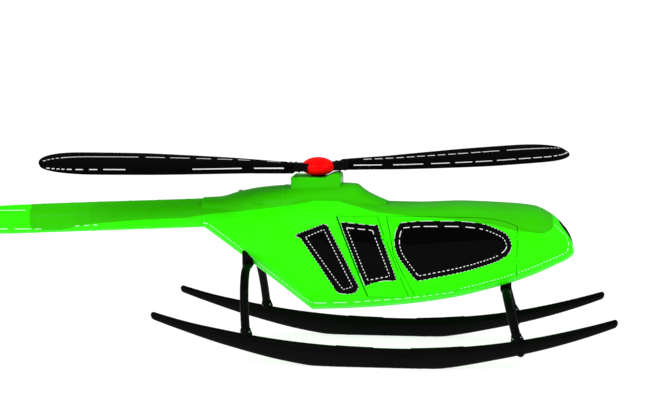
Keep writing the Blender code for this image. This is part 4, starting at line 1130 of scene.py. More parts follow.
def cowl_ring(x):
    """A closed strip outline: flange, arch and flange, and back along the inside."""
    arch = cowl_arch(x)
    flanges = []
    for sign, (foot_y, foot_z) in ((-1, arch[0]), (1, arch[-1])):
        flange = [(foot_y + sign * reach, roof_height(x, foot_y + sign * reach) + rise) for reach, rise in (
            (FLANGE_WIDTH, -0.003), (FLANGE_WIDTH, 0.6 * FLANGE_RISE), (FLANGE_WIDTH - 0.002, FLANGE_RISE),
            (0.006, FLANGE_RISE))]
        flanges.append(flange + [(foot_y + sign * 0.0015, foot_z + 0.006)])
    inner = [(y, z - 0.004) for y, z in cowl_arch(x, COWL_SHEET)[::-1]]
    return [spot(x, y, z) for y, z in flanges[0] + arch[1:-1] + flanges[1][::-1] + inner]


def cowl(name, low, high, node):
    stops = np.linspace(low, high, round((high - low) / 0.03) + 1)
    piece(name, *loft([cowl_ring(x) for x in stops]), roof_paint, replaces=node, sharp=50)


cowl("gearbox_cowl_skin", COWL_JOINT_X + 0.003, COWL_END_X, "transmission_cowl")
cowl("engine_cowl_skin", HULL_AFT + 0.002, COWL_JOINT_X - 0.003, "engine_cowl")
tell("cowl_skin")


# %% Cowl joint, screws and louvres
def on_cowl(x, share):
    """A frame on the cowl at x, at a share of the way over it from the right side."""
    def point(x, share):
        step = np.arange(COWL_STEPS + 1)
        return spot(x, *(np.interp(share * COWL_STEPS, step, row) for row in zip(*cowl_arch(x))))
    here = point(x, share)
    normal = (point(x, share - 0.02 / pi) - here).cross(point(x + 0.01, share) - here)
    return facing(here, normal if normal.dot(Vector((0, here.y, here.z - COWL_BASE))) > 0 else -normal)


strap_rings = [[spot(COWL_JOINT_X + offset, y * (1 + rise / 0.45), z + rise)
                for y, z in cowl_arch(COWL_JOINT_X + offset)]
               for offset, rise in band(0.022, 0.002, 0.004, 0.003, 0.002)]
collar = Shapes().add(loft([list(column) for column in zip(*strap_rings)]))
for x in (COWL_JOINT_X - 0.012, COWL_JOINT_X + 0.012):
    for k in range(1, 16):
        collar.add(screw_body, on_cowl(x, k / 16) @ shift(0, 0, 0.004))
collar.make("cowl_joint_strap", roof_paint)
louvres = Shapes()
louvre_slat = slab(oblong(0.17, 0.016), -0.002, 0.009)
for share, tilt in ((0.16, 0.5), (0.84, -0.5)):
    for k in range(6):
        louvres.add(louvre_slat, on_cowl(-0.8, share + (k - 2.5) * 0.026) @ turn_by(tilt, "X"))
louvres.make("engine_louvres", roof_paint)
flange_screws = Shapes()
for x in np.arange(-1.4, 0.9, 0.115):
    arch = cowl_arch(x)
    for y in (arch[0][0] - 0.014, arch[-1][0] + 0.014):
        slope = (roof_height(x, y + 0.01) - roof_height(x, y - 0.01)) / 0.02
        flange_screws.add(screw_body, facing(spot(x, y, roof_height(x, y) + FLANGE_RISE), (0, -slope, 1)))
flange_screws.make("cowl_flange_screws", roof_paint)
tell("cowl")

# %% [markdown]
# The block under the rotor head is a fairing with a raised front lip and a slight fall to the rear. It is
# a slab with rolled rims. A Boolean cuts the mast's hole, and a rubber boot closes the gap.

# %% Rotor block
MAST_BLOCK = [
    (-0.352, 2.25), (-0.352, 2.455), (-0.33, 2.47), (0.12, 2.455), (0.19, 2.495), (0.265, 2.512),
    (0.32, 2.495), (0.335, 2.45), (0.335, 2.25)]
MAST_BLOCK_HALF = 0.25
MAST_RADIUS = 0.065
BORE_RADIUS = 0.0662


def moved(body, place):
    return [place @ Vector(point) for point in body[0]], body[1]


def applied(obj):
    return bpy.data.meshes.new_from_object(obj.evaluated_get(bpy.context.evaluated_depsgraph_get()))


def bored(name, body, cutter, finish, replaces):
    """A body less a cutter, made with Blender's own Boolean and applied."""
    made = piece(name, *body, finish, replaces=replaces)
    tool = new_object("cutter", mesh_of("cutter", *cutter))
    made.modifiers.new("bore", "BOOLEAN").object = tool
    result = applied(made)
    made.modifiers.clear()
    made.data = result
    made.data.materials.clear()
    made.data.materials.append(finish.material)
    bpy.data.objects.remove(tool)


block = slab(rounded(MAST_BLOCK, 0.03, 6), -MAST_BLOCK_HALF, MAST_BLOCK_HALF, 0.022, 5)
bore = turned([(0, 2.6), (BORE_RADIUS, 2.6), (BORE_RADIUS, 2.36), (0, 2.36)])
bored("rotor_block_skin", moved(block, UPRIGHT), moved(bore, AT_MAST), roof_paint, "mast_fairing")
Shapes().add(turned([(0.0685, 2.447), (0.0685, 2.47), (0.073, 2.474), (0.082, 2.472), (0.1, 2.462),
                     (0.112, 2.458), (0.115, 2.447)]), AT_MAST).make("mast_boot", gasket_black)
block_screws = Shapes()
for side in SIDES.values():
    for x in np.linspace(-0.31, 0.31, 6):
        for z in (2.335, 2.43) if abs(x) < 0.25 else (2.335,):
            block_screws.add(screw_body, facing(spot(x, side * (MAST_BLOCK_HALF - 0.001), z), (0, side, 0)))
block_screws.make("rotor_block_screws", roof_paint)
tell("block")

# %% [markdown]
# The exhaust is a bent thin pipe, open at its end and stained brown by heat. Rings along its bend give
# the outside, and a Boolean with a thinner rod opens it up.

# %% Exhaust
EXHAUST_PATH = [(-0.98, 0.3, 2.04), (-1, 0.36, 2.11), (-1.06, 0.42, 2.145), (-1.18, 0.46, 2.15)]
EXHAUST_RADIUS = 0.045
PIPE_WALL = 0.004
pipe_path = smooth_path(EXHAUST_PATH, 18)
pipe_rings = []
for i, point in enumerate(pipe_path):
    ahead = (pipe_path[min(i + 1, 17)] - pipe_path[max(i - 1, 0)]).normalized()
    side_way = ahead.cross(Vector((0, 0, 1))).normalized()
    swell = EXHAUST_RADIUS + (0.003 if i > 15 else 0)
    pipe_rings.append([point + (side_way * cos(a) + side_way.cross(ahead) * sin(a)) * swell
                       for a in angles(32)])
bore_path = pipe_path[3:] + [pipe_path[-1] * 2 - pipe_path[-3]]
pipe_bore = rod(bore_path, EXHAUST_RADIUS - PIPE_WALL, 32)
bored("exhaust_pipe", loft(pipe_rings), pipe_bore, burnt_steel, "exhaust")
tell("exhaust")

# %% [markdown]
# The tail boom is a tapered tube of sheet rolled around frames. Each frame shows outside as a narrow lap
# of sheet with a row of rivets on either side. The cover on its top hides the tail rotor's drive shaft,
# and is an arched sheet held by clips.

# %% Tail boom
BOOM_SLOPE = 0.0489
BOOM_TAPER_X = -4.45
BOOM_END_X = -5.95
BOOM_END_RADIUS = 0.125
BOOM_LAPS = (-2.35, -3.2, -4.05, -4.62, -5.2)
PAST_HULL = 0.0008


def boom_z(x):
    return BOOM_FRONT_Z + BOOM_SLOPE * (x - HULL_AFT)


def boom_radius(x):
    share = min(max((BOOM_TAPER_X - x) / (BOOM_TAPER_X - BOOM_END_X), 0), 1)
    return BOOM_RADIUS + (BOOM_END_RADIUS - BOOM_RADIUS) * share


def boom_ring(x, grow=0):
    radius = boom_radius(x) + grow
    return [spot(x, radius * sin(a), boom_z(x) + radius * cos(a)) for a in angles(72)]


boom_rings = [boom_ring(x) for x in np.linspace(HULL_AFT - PAST_HULL, BOOM_END_X + 0.012, 60)]
boom_rings += [boom_ring(BOOM_END_X + dx, grow) for dx, grow in ((0.004, -0.004), (0, -0.014), (0, -0.06))]
piece("tail_boom_skin", *loft(boom_rings), skin_paint, replaces="tail_boom")
laps = Shapes()
for x in BOOM_LAPS:
    laps.add(loft([boom_ring(x + offset, grow) for offset, grow in band(0.03, 0.003, 0.0018)], closed=True))
laps.make("boom_frame_laps", skin_paint)
tell("boom")

# %% Drive shaft cover
COVER_HALF = 0.085
COVER_AFT_X = -5.44
COVER_KNEE_X = -4.6
COVER_POWER = 2.8
cover_top = smooth_line([(x, boom_z(x - past) + rise) for x, past, rise in (
    (COVER_AFT_X, 0, 0.12), (COVER_AFT_X + 0.02, 0.02, 0.185), (COVER_KNEE_X, 0, 0.214),
    (HULL_AFT, 0, 0.214))])


def cover_ring(x):
    top, foot = float(cover_top(x)), boom_z(x) + boom_radius(x) * 0.55
    arch = (squared(angle, COVER_POWER) for angle in np.linspace(0, pi, 29))
    return [spot(x, COVER_HALF * across, foot + (top - foot) * up) for across, up in arch]


stops = [COVER_AFT_X, COVER_AFT_X + 0.006, COVER_AFT_X + 0.016]
stops += list(np.linspace(COVER_AFT_X + 0.04, HULL_AFT - PAST_HULL, 50))
piece("drive_shaft_cover", *loft([cover_ring(x) for x in stops]), skin_paint, replaces="shaft_cover")
clips = Shapes()
for x in np.arange(-5.2, -1.6, 0.42):
    rows = []
    for offset, grow in ((-0.016, -0.002), (-0.014, 0.0025), (0.014, 0.0025), (0.016, -0.002)):
        rows.append([point + Vector((0, point.y, point.z - boom_z(x) - 0.1)).normalized() * grow
                     for point in cover_ring(x + offset)])
    clips.add(loft([list(column) for column in zip(*rows)]))
clips.make("shaft_cover_straps", skin_paint)
tell("shaft_cover")

# %% [markdown]
# Past the drawing's edge the tail is finished as this type has it: a swept fin above and below the boom,
# a small fixed stabilizer, a gearbox, and a springy steel skid that keeps the tail rotor off the ground.
# Fin and stabilizer are thin wings, round in front and thin behind.

# %% Fin, stabilizer and tail skid
FIN = [
    (-5.45, 1.87), (-5.97, 2.63), (-6.02, 2.65), (-6.33, 2.65), (-6.38, 2.55), (-6.16, 1.78),
    (-6.32, 1.12), (-6.26, 1.05), (-5.96, 1.05), (-5.62, 1.5)]
FIN_HALF = 0.022
TAIL_SKID_PATH = [(-6.05, 0, 1.06), (-6.05, 0, 1), (-6.075, 0, 0.95), (-6.13, 0, 0.905), (-6.2, 0, 0.88),
                  (-6.3, 0, 0.87)]
STABILIZER_X = -4.885
STABILIZER_Z = 1.742
STABILIZER_HALF_CHORD = 0.165
STABILIZER_HALF_SPAN = 0.95
STABILIZER_THICK = 0.05
TIP_LENGTH = 0.06
fin = Shapes().add(slab(rounded(FIN, 0.06, 10), -FIN_HALF, FIN_HALF, 0.018, 6), UPRIGHT)
fin.make("tail_fin_skin", skin_paint, replaces="tail_fin", sharp=60)


def wing_ring(y):
    past = max(0, (abs(y) - STABILIZER_HALF_SPAN) / TIP_LENGTH + 1)
    scale = sqrt(max(1 - past * past, 0.09))
    return [spot(STABILIZER_X + cos(a) * STABILIZER_HALF_CHORD * scale, y,
                 STABILIZER_Z + sin(a) * STABILIZER_THICK / 2 * scale * (1 + 0.3 * cos(a)))
            for a in angles(40)]


tips = [STABILIZER_HALF_SPAN - TIP_LENGTH * (1 - sin(k / 8 * pi / 2)) for k in range(9)]
stops = [-y for y in reversed(tips)] + list(np.linspace(-0.8, 0.8, 9)) + tips
piece("stabilizer_skin", *loft([wing_ring(y) for y in stops]), skin_paint, replaces="stabilizer")
piece("tail_skid_rod", *rod(smooth_path(TAIL_SKID_PATH, 30), 0.018, 20), tube_black, replaces="tail_skid")
tell("stabilizer")

# %% Tail gearbox
TAIL_ROTOR = (-5.85, 0.36, 1.7)
SHAFT_BORE = 0.0306
across_boom = AT_MAST @ shift(TAIL_ROTOR[0], 0, TAIL_ROTOR[2]) @ turn_by(-pi / 2, "X")
gearbox = Shapes().add(turned([
    (0, 0.2), (SHAFT_BORE, 0.2), (SHAFT_BORE, 0.285), (0.05, 0.285), (0.055, 0.281),
    (0.06, 0.275), (0.062, 0.262), (0.083, 0.252), (0.087, 0.245), (0.0885, 0.2), (0.093, 0.196),
    (0.093, 0.186), (0.089, 0.182), (0.0915, 0.13), (0.0955, 0.126), (0.0955, 0.116), (0.092, 0.112),
    (0.095, 0.04), (0.104, 0.036), (0.104, 0.022), (0, 0.022)], 56), across_boom)
for angle in angles(8):
    add_bolt(gearbox, across_boom @ turn_by(angle, "Z") @ shift(0.073, 0, 0.2575), 0.006)
gearbox.make("tail_gearbox_case", dull_alloy, replaces="tail_gearbox")
tell("tail")

# %% [markdown]
# Lights are coloured domes on a metal foot: red on the left tip of the stabilizer, green on the right, a
# red beacon on the fin, and a landing lamp set into the belly behind a clear lens.

# %% Lights
POSITION_DOME = [(0, 0.036), (0.008, 0.035), (0.015, 0.031), (0.021, 0.023), (0.0235, 0.012), (0.024, 0),
                 (0, 0)]
BEACON_DOME = [(0, 0.06), (0.012, 0.059), (0.022, 0.053), (0.029, 0.042), (0.032, 0.028), (0.033, 0),
               (0, 0)]


def lamp_dome(name, node, place, axis, lens_finish, foot, dome):
    stand = facing(place, axis)
    Shapes().add(turned(dome, 32), stand).make(name, lens_finish, replaces=node)
    Shapes().add(turned([(0, 0.004), (foot, 0.004), (foot * 1.25, 0.0015), (foot * 1.25, -0.002),
                         (0, -0.002)], 28), stand).make(f"{name}_foot", bright_steel)


for (hand, side), glass in zip(SIDES.items(), (red_glass, green_glass)):
    lamp_dome(f"position_light_{hand}", f"nav_light_{hand}",
              spot(-4.86, side * (STABILIZER_HALF_SPAN - 0.002), STABILIZER_Z), (0, side, 0), glass, 0.022,
              POSITION_DOME)
lamp_dome("fin_beacon", "beacon", spot(-6.18, 0, 2.6505), (0, 0, 1), red_glass, 0.034, BEACON_DOME)
in_belly = AT_MAST @ shift(2.3, 0.3, 0.922)
Shapes().add(turned([
    (0, 0.08), (0.072, 0.08), (0.076, 0.02), (0.079, 0.006), (0.079, -0.004), (0.07, -0.007),
    (0.067, -0.002), (0, -0.002)], 40), in_belly).make(
        "landing_lamp_bezel", bright_steel, replaces="landing_light")
Shapes().add(turned([
    (0, -0.002), (0.066, -0.002), (0.066, -0.006), (0.055, -0.013), (0.03, -0.02), (0, -0.023)],
    40), in_belly).make("landing_lamp_lens", clear_lens)
tell("light")

# %% [markdown]
# Thin white tape decorates the skin: a pinstripe follows the keel, the nose and the tail boom, and
# another runs around each window on its rubber. The tape is laid in dashes, long where the line lies
# level or upright, and down to dots where it slopes. Across the front door the keel stripe belongs to the
# door.

# %% Dashes on the skin
STRIPE_WIDTH = 0.01
BEAD_WIDTH = 0.005
STRIPE_INSET = 0.07
STRIPE_STEP = 0.014
STRIPE_SHORT, STRIPE_LONG = 0.045, 0.28
DASH_SHARE = 0.5
LONG_DASH_SHARE = 0.66
AIRFRAME_ROUTES = [
    [(-1.6, 1.8), (-1.52, 1.79), (-1.445, 1.745), (-0.121, 0.83), (-0.03, 0.775), (0.09, 0.773),
     (0.49, 0.792), (0.8, 0.824), (1.13, 0.857), (1.4, 0.888), (1.68, 0.932), (1.9, 0.966)],
    [(2.765, 1.249), (3, 1.339), (3.19, 1.421), (3.32, 1.473), (3.42, 1.515), (3.438, 1.62),
     (3.411, 1.714), (3.333, 1.795), (3.251, 1.876)]]
DOOR_ROUTE = [(2, 1.022), (2.25, 1.09), (2.525, 1.168), (2.72, 1.233)]
BOOM_ROUTES = [
    [(-5.3, 1.851), (-4.54, 1.925), (-4.16, 1.934)], [(-5.3, 1.65), (-4.95, 1.658)],
    [(-4.85, 1.66), (-4.41, 1.669)], [(-4.315, 1.67), (-3.93, 1.6745)],
    [(-3.43, 1.7255), (-3.37, 1.731)], [(-3.3, 1.735), (-3.11, 1.748)]]


def on_skin(x, z, side):
    """A place on the hull seen at (x, z) from the side, and its outward normal."""
    turn = hull_turn(x, z, side)
    here, ahead, around = (Vector(hull_points(x + dx, turn + dt))
                           for dx, dt in ((0, 0), (0.004, 0), (0, 0.01)))
    normal = (ahead - here).cross(around - here).normalized()
    return here, normal if normal.y * side > 0 else -normal


def on_boom(x, z, side):
    """The same for a place on the tail boom."""
    radius, rise = boom_radius(x), z - boom_z(x)
    normal = Vector((0, side * sqrt(radius ** 2 - rise ** 2), rise)) / radius
    return spot(x, 0, boom_z(x)) + normal * radius, normal


def stripe(shapes, route, side, surface=on_skin, width=STRIPE_WIDTH, proud=0, dashed=True):
    """Tape along a route of (x, z) points on a surface, in dashes or in one run."""
    xs, zs = np.array(route).T
    lengths = lengths_along(route)

    def point_at(s):
        (before, normal), (after, _) = (
            surface(np.interp(s + ds, lengths, xs), np.interp(s + ds, lengths, zs), side)
            for ds in (-0.004, 0.004))
        return (before + after) / 2, normal.cross(after - before).normalized(), normal

    start = 0
    while start < lengths[-1] - STRIPE_SHORT / 4:
        k = min(int(np.searchsorted(lengths, start, side="right")), len(route) - 1)
        fall, run = sorted((abs(xs[k] - xs[k - 1]), abs(zs[k] - zs[k - 1])))
        period = min(max(STRIPE_STEP * run / max(fall, 1e-4), STRIPE_SHORT), STRIPE_LONG)
        share = DASH_SHARE if period < 2 * STRIPE_SHORT else LONG_DASH_SHARE
        if not dashed:
            period, share = lengths[-1], 1
        end = min(start + period * share, lengths[-1])
        shapes.add(tape_strip(point_at, start, end, width, 0.03, proud + TAPE_RISE))
        start += period


for hand, side in SIDES.items():
    tapes = {place: Shapes() for place in ("front", "rear", "aft")}
    for route in AIRFRAME_ROUTES:
        stripe(tapes["aft"], route, side)
    for route in BOOM_ROUTES:
        stripe(tapes["aft"], route, side, on_boom, dashed=False)
    stripe(tapes["front"], DOOR_ROUTE, side)
    for place, shapes in tapes.items():
        for outline, inset, width in ((lip_outlines[place], STRIPE_INSET, STRIPE_WIDTH),
                                      (window_outlines[place], BEAD_WIDTH, BEAD_WIDTH)):
            route = shrink_outline(outline, inset)
            stripe(shapes, route + route[:1], side, width=width, proud=FRAME_PROUD)
        body = "airframe" if place == "aft" else f"{place}_{hand}_door"
        shapes.make(f"{place}_tape_{hand}", white_tape, body)
tell("tape")

# %% [markdown]
# The main rotor has two broad paddle blades of black composite on a flat yoke, under a red dome.
# Everything here is made in the hub's own frame, where the blades lie along X, and is then turned to the
# angle at which the drawing shows them. The blades cone up a little and are pitched one up, one down,
# which is why the drawing sees one from above and the other from below.

# %% Rotor frame and blades
ROTOR_RADIUS = 3.845
ROTOR_AZIMUTH = radians(25.7)
CONING = radians(2.2)
CYCLIC = radians(10.5)
COLLECTIVE = radians(-1.2)
BLADE_ROOT = 0.42
TIP_START = 3.2
TIP_POWER = 2.4
BLADE_SIDES = 48
TIP_STOPS = 26
hub_frame = AT_MAST @ shift(0, 0, HUB_Z) @ turn_by(ROTOR_AZIMUTH, "Z")
arms = {"b": hub_frame @ turn_by(-CONING, "Y"),
        "a": hub_frame @ turn_by(pi, "Z") @ turn_by(-CONING, "Y")}
blade_turns = {"a": arms["a"] @ turn_by(COLLECTIVE - CYCLIC, "X"),
               "b": arms["b"] @ turn_by(COLLECTIVE + CYCLIC, "X")}
main_blade = {
    "tip": ROTOR_RADIUS, "tip_start": TIP_START,
    "chord": smooth_line([(BLADE_ROOT, 0.44), (1.0, 0.63), (1.8, 0.85), (2.5, 0.97), (3.1, 0.98),
                          (ROTOR_RADIUS, 0.94)]),
    "thick": smooth_line([(BLADE_ROOT, 0.11), (1.5, 0.1), (3.0, 0.095), (ROTOR_RADIUS, 0.06)]),
    "ahead": smooth_line([(BLADE_ROOT, 0.5), (1.2, 0.38), (ROTOR_RADIUS, 0.36)])}


def blade_point(blade, r, angle):
    """A point on a blade's skin: r along it, and an angle around its section."""
    past = max(0.0, (r - blade["tip_start"]) / (blade["tip"] - blade["tip_start"]))
    share = max(max(1 - past ** TIP_POWER, 0) ** (1 / TIP_POWER), 0.03)
    along = cos(angle)
    height = blade["thick"](r) / 2 * max(share, 0.1) * sin(angle) * (1 + 0.3 * along)
    return Vector((r, blade["chord"](r) * share * (along / 2 + blade["ahead"](r) - 0.5), height))


def blade_body(blade, root, count):
    tip_start = blade["tip_start"]
    round_tip = [sin(k / TIP_STOPS * pi / 2) for k in range(1, TIP_STOPS + 1)]
    stops = list(np.linspace(root, tip_start, count)) + [
        tip_start + (blade["tip"] - tip_start) * share for share in round_tip]
    return loft([[blade_point(blade, r, a) for a in angles(BLADE_SIDES)] for r in stops])


blade_shape = blade_body(main_blade, BLADE_ROOT + 0.0006, 44)
for letter, turn in blade_turns.items():
    Shapes().add(blade_shape, turn).make(f"paddle_blade_{letter}", blade_black, "main_rotor",
                                         f"main_blade_{letter}", 70)
tell("blade")

# %% [markdown]
# A dashed white line runs along both edges of each blade and closes around its tip. Each dash is a strip
# of tape, laid on the blade's own curve, on its upper and lower faces. A long dash lies near the tip, and
# dots turn around the tip itself.

# %% Blade dashes
BLADE_TAPE_WIDTH = 0.027
TIP_DOTS = [(r, r + 0.035) for r in np.arange(3.56, 3.8, 0.06)]
EVEN_DASHES = [(r, r + 0.115) for r in np.arange(0.69, 2.1 - 0.115, 0.16)]
BLADE_LINES = {
    "a": {-0.32: [(0.52, 0.71), (0.95, 1.11), (1.19, 1.395), (1.485, 1.685), (1.78, 2.05), (2.12, 2.38),
                  (2.48, 3.53)],
          0.82: [(0.565, 0.99), (1.165, 1.86), (2.77, 3.06), (3.14, 3.245), (3.325, 3.42), (3.47, 3.53)]},
    "b": {0.19: EVEN_DASHES + [(2.12, 2.28), (2.33, 2.48), (2.51, 2.78), (2.9, 3.55)],
          -0.67: [(0.47, 0.86), (1.015, 1.44), (1.555, 1.83), (1.91, 2.16), (2.21, 2.46), (2.54, 2.83),
                  (2.88, 3.07), (3.11, 3.25), (3.285, 3.41), (3.46, 3.52)]}}


def blade_line_at(chord_share, face):
    """Places along the main blade at a share of its half chord, on the upper (1) or lower (-1) face."""
    def place_at(r):
        angle = acos(chord_share) * face
        here, ahead, beside = (blade_point(main_blade, r + dr, angle + turn)
                               for dr, turn in ((0, 0), (0.01, 0), (0, 0.05)))
        normal = (ahead - here).cross(beside - here).normalized()
        if normal.z * face < 0:
            normal = -normal
        return here, normal.cross(ahead - here).normalized(), normal
    return place_at


for letter, turn in blade_turns.items():
    tape = Shapes()
    for face in (1, -1):
        for share, runs in BLADE_LINES[letter].items():
            for start, end in runs + TIP_DOTS:
                tape.add(tape_strip(blade_line_at(share, face), start, end, BLADE_TAPE_WIDTH), turn)
    tape.make(f"blade_tape_{letter}", white_tape, "main_rotor")
tell("blade_tape")

# %% [markdown]
# The yoke is a flat forged bar with a grip at each end, bolted through the blade's root. The mast is
# turned steel. The red dome is a shallow turned cap with a fine seam where its two halves meet.

# %% Yoke, mast and dome
YOKE_HALF = 0.15
YOKE_NECK = 0.115
YOKE_HALF_THICK = 0.055
BOSS_HALF = 0.058
MAST_FOOT = -0.218
HUB_RADIUS = 0.215
DOME_TOP = 0.142
DOME_BOTTOM = -0.105
DOME_BELOW = radians(62)
DOME_OVAL = (1.093, 0.93, 1, 1)
SCREW_RISE = 0.3
yoke = Shapes().add(turned([
    (0, BOSS_HALF), (0.082, BOSS_HALF), (0.09, BOSS_HALF - 0.008), (0.09, 0.008 - BOSS_HALF),
    (0.082, -BOSS_HALF), (0, -BOSS_HALF)]), hub_frame)
lower_edge = [(-0.02, -YOKE_NECK), (0.26, -YOKE_NECK), (0.34, -YOKE_HALF), (BLADE_ROOT, -YOKE_HALF)]
grip_outline = lower_edge + [(u, -v) for u, v in reversed(lower_edge)]
grip = slab(rounded(grip_outline, 0.03), -YOKE_HALF_THICK, YOKE_HALF_THICK, 0.01)
grip_bolts = Shapes()
for arm in arms.values():
    yoke.add(grip, arm)
    for x in (0.3, 0.375):
        for y in (-0.07, 0.07):
            for face in (0, pi):
                on_face = turn_by(face, "X") @ shift(0, 0, YOKE_HALF_THICK)
                add_bolt(grip_bolts, arm @ shift(x, y, 0) @ on_face, 0.014)
yoke.make("rotor_yoke_bar", tube_black, "main_rotor", "rotor_yoke")
grip_bolts.make("grip_bolts", tube_black, "main_rotor")
Shapes().add(turned([
    (0, -0.0585), (MAST_RADIUS - 0.004, -0.0585), (MAST_RADIUS, -0.0625), (MAST_RADIUS, MAST_FOOT + 0.002),
    (MAST_RADIUS - 0.002, MAST_FOOT), (0, MAST_FOOT)], 56), hub_frame).make(
        "rotor_mast_tube", bright_steel, "main_rotor", "rotor_mast")
dome_profile = [(0, DOME_TOP)]
dome_profile += [(HUB_RADIUS * cos(a), DOME_TOP * sin(a))
                 for a in np.linspace(pi / 2, 0, 19)[1:]]
dome_profile += [(HUB_RADIUS - 0.0035, -0.002), (HUB_RADIUS - 0.0035, -0.005), (HUB_RADIUS, -0.007)]
dome_profile += [(HUB_RADIUS * cos(a), DOME_BOTTOM * sin(a) / sin(DOME_BELOW))
                 for a in np.linspace(0, DOME_BELOW, 11)[1:]]
dome_profile += [(MAST_RADIUS + 0.002, DOME_BOTTOM), (MAST_RADIUS + 0.002, -0.06), (0, -0.06)]
dome_frame = hub_frame @ Matrix.Diagonal(DOME_OVAL)
Shapes().add(turned(dome_profile, 72), dome_frame).make("red_hub_dome", hub_red, "main_rotor", "hub_cap", 30)
dome_screws = Shapes()
radius = HUB_RADIUS * cos(SCREW_RISE)
for angle in angles(10, 0.5):
    place = Vector((radius * cos(angle), radius * sin(angle), DOME_TOP * sin(SCREW_RISE)))
    normal = Vector((place.x / HUB_RADIUS ** 2, place.y / HUB_RADIUS ** 2, place.z / DOME_TOP ** 2))
    dome_screws.add(screw_body, dome_frame @ facing(place, normal))
dome_screws.make("dome_screws", hub_red, "main_rotor")
tell("dome")

# %% [markdown]
# The tail rotor is a small pair of metal blades on a turned hub with its own shaft. Its blades are made
# like the main ones, from a chord and a thickness along them, and are set at a fixed pitch.

# %% Tail rotor
TAIL_RADIUS = 0.72
TAIL_HUB_RADIUS = 0.085
TAIL_SHAFT_RADIUS = 0.03
TAIL_PITCH = 0.12
tail_frame = AT_MAST @ shift(*TAIL_ROTOR)
tail_axis = tail_frame @ turn_by(-pi / 2, "X")
tail_hub = Shapes().add(turned([
    (0, 0.045), (0.044, 0.0445), (0.05, 0.04), (0.06, 0.036), (TAIL_HUB_RADIUS - 0.003, 0.022),
    (TAIL_HUB_RADIUS, 0.018), (TAIL_HUB_RADIUS, -0.018), (TAIL_HUB_RADIUS - 0.003, -0.022),
    (TAIL_SHAFT_RADIUS, -0.035), (TAIL_SHAFT_RADIUS, -0.152), (TAIL_SHAFT_RADIUS - 0.003, -0.155),
    (0, -0.155)]), tail_axis)
for angle in angles(6):
    add_bolt(tail_hub, tail_axis @ turn_by(angle + 0.5, "Z") @ shift(0.066, 0, 0.0315), 0.006)
tail_hub.make("tail_rotor_hub_turned", bright_steel, "tail_rotor", "tail_rotor_hub")
tail_blade = {"tip": TAIL_RADIUS, "tip_start": 0.6, "ahead": lambda r: 0.5,
              "chord": smooth_line([(0.05, 0.09), (0.25, 0.14), (TAIL_RADIUS, 0.15)]),
              "thick": smooth_line([(0.05, 0.03), (0.3, 0.024), (TAIL_RADIUS, 0.018)])}
tail_shape = blade_body(tail_blade, 0.066, 16)
for letter, turn in (("a", -pi / 2), ("b", pi / 2)):
    lay = tail_frame @ turn_by(turn, "Y") @ turn_by(pi / 2 - TAIL_PITCH, "X")
    Shapes().add(tail_shape, lay).make(f"tail_rotor_blade_{letter}", blade_black, "tail_rotor",
                                       f"tail_blade_{letter}", 70)
tell("tail_rotor")

# %% [markdown]
# The landing gear is two thick rocker skids on two arched cross tubes. The skids are fat in the middle
# and taper to blunt ends that curl up, so each is lofted from rounded squares along a curve. The sole is
# flat at the ground.

# %% Skids
SKID_Y = 1
SKID_FRONT = 4.06
SKID_AFT = -2.17
SKID_LOW_X = 1.1
SKID_LOW_Z = 0.13
SKID_RISE_AFT = (0.0401, 2.16)
SKID_RISE_FRONT = (0.065, 1.953)
SKID_WIDTH = 0.13
SKID_POWER = 2.6
SKID_END = 0.045
skid_thick = smooth_line([
    (SKID_AFT, 0.1), (-1.75, 0.13), (-1.1, 0.2), (0.3, 0.255), (0.9, 0.26), (1.6, 0.25),
    (2.6, 0.2), (3.5, 0.15), (SKID_FRONT, 0.105)])
skid_sole = smooth_line([
    (SKID_AFT, 0), (-1.2, 0.006), (-0.4, 0.04), (0.1, 0.054), (0.9, 0.045), (1.7, 0.036),
    (2.5, 0.01), (SKID_FRONT, 0)])


def skid_middle(x):
    amount, power = SKID_RISE_FRONT if x > SKID_LOW_X else SKID_RISE_AFT
    return SKID_LOW_Z + amount * abs(x - SKID_LOW_X) ** power


def skid_top(x):
    return skid_middle(x) + skid_thick(x) / 2


def skid_ring(x, side):
    """A rounded square across the skid, shrinking in a half round over each end."""
    thick, sole = skid_thick(x), skid_sole(x)
    from_end = min(x - SKID_AFT, SKID_FRONT - x)
    scale = sqrt(max(1 - max(0, 1 - from_end / SKID_END) ** 2, 0.04))
    width = min(SKID_WIDTH, thick * 1.1)
    return [spot(x, side * SKID_Y + width / 2 * across * scale,
                 max(skid_middle(x) - sole / 2 + (thick + sole) / 2 * up * scale, 0))
            for across, up in (squared(angle, SKID_POWER) for angle in angles(36))]


ends = [SKID_END * (1 - cos(k / 8 * pi / 2)) for k in range(9)]
skid_stops = [SKID_AFT + e for e in ends] + list(np.linspace(SKID_AFT + 0.09, SKID_FRONT - 0.09, 110))
skid_stops += [SKID_FRONT - e for e in reversed(ends)]
for hand, side in SIDES.items():
    piece(f"rocker_skid_{hand}", *loft([skid_ring(x, side) for x in skid_stops]), skid_black,
          replaces=f"skid_{hand}", sharp=50)
tell("skid")

# %% [markdown]
# A cross tube is one thick tube bent into an arch. It stands in a socket on each skid and passes under
# the belly in two saddles, where straps hold it. It follows the same points as the frame's tube.

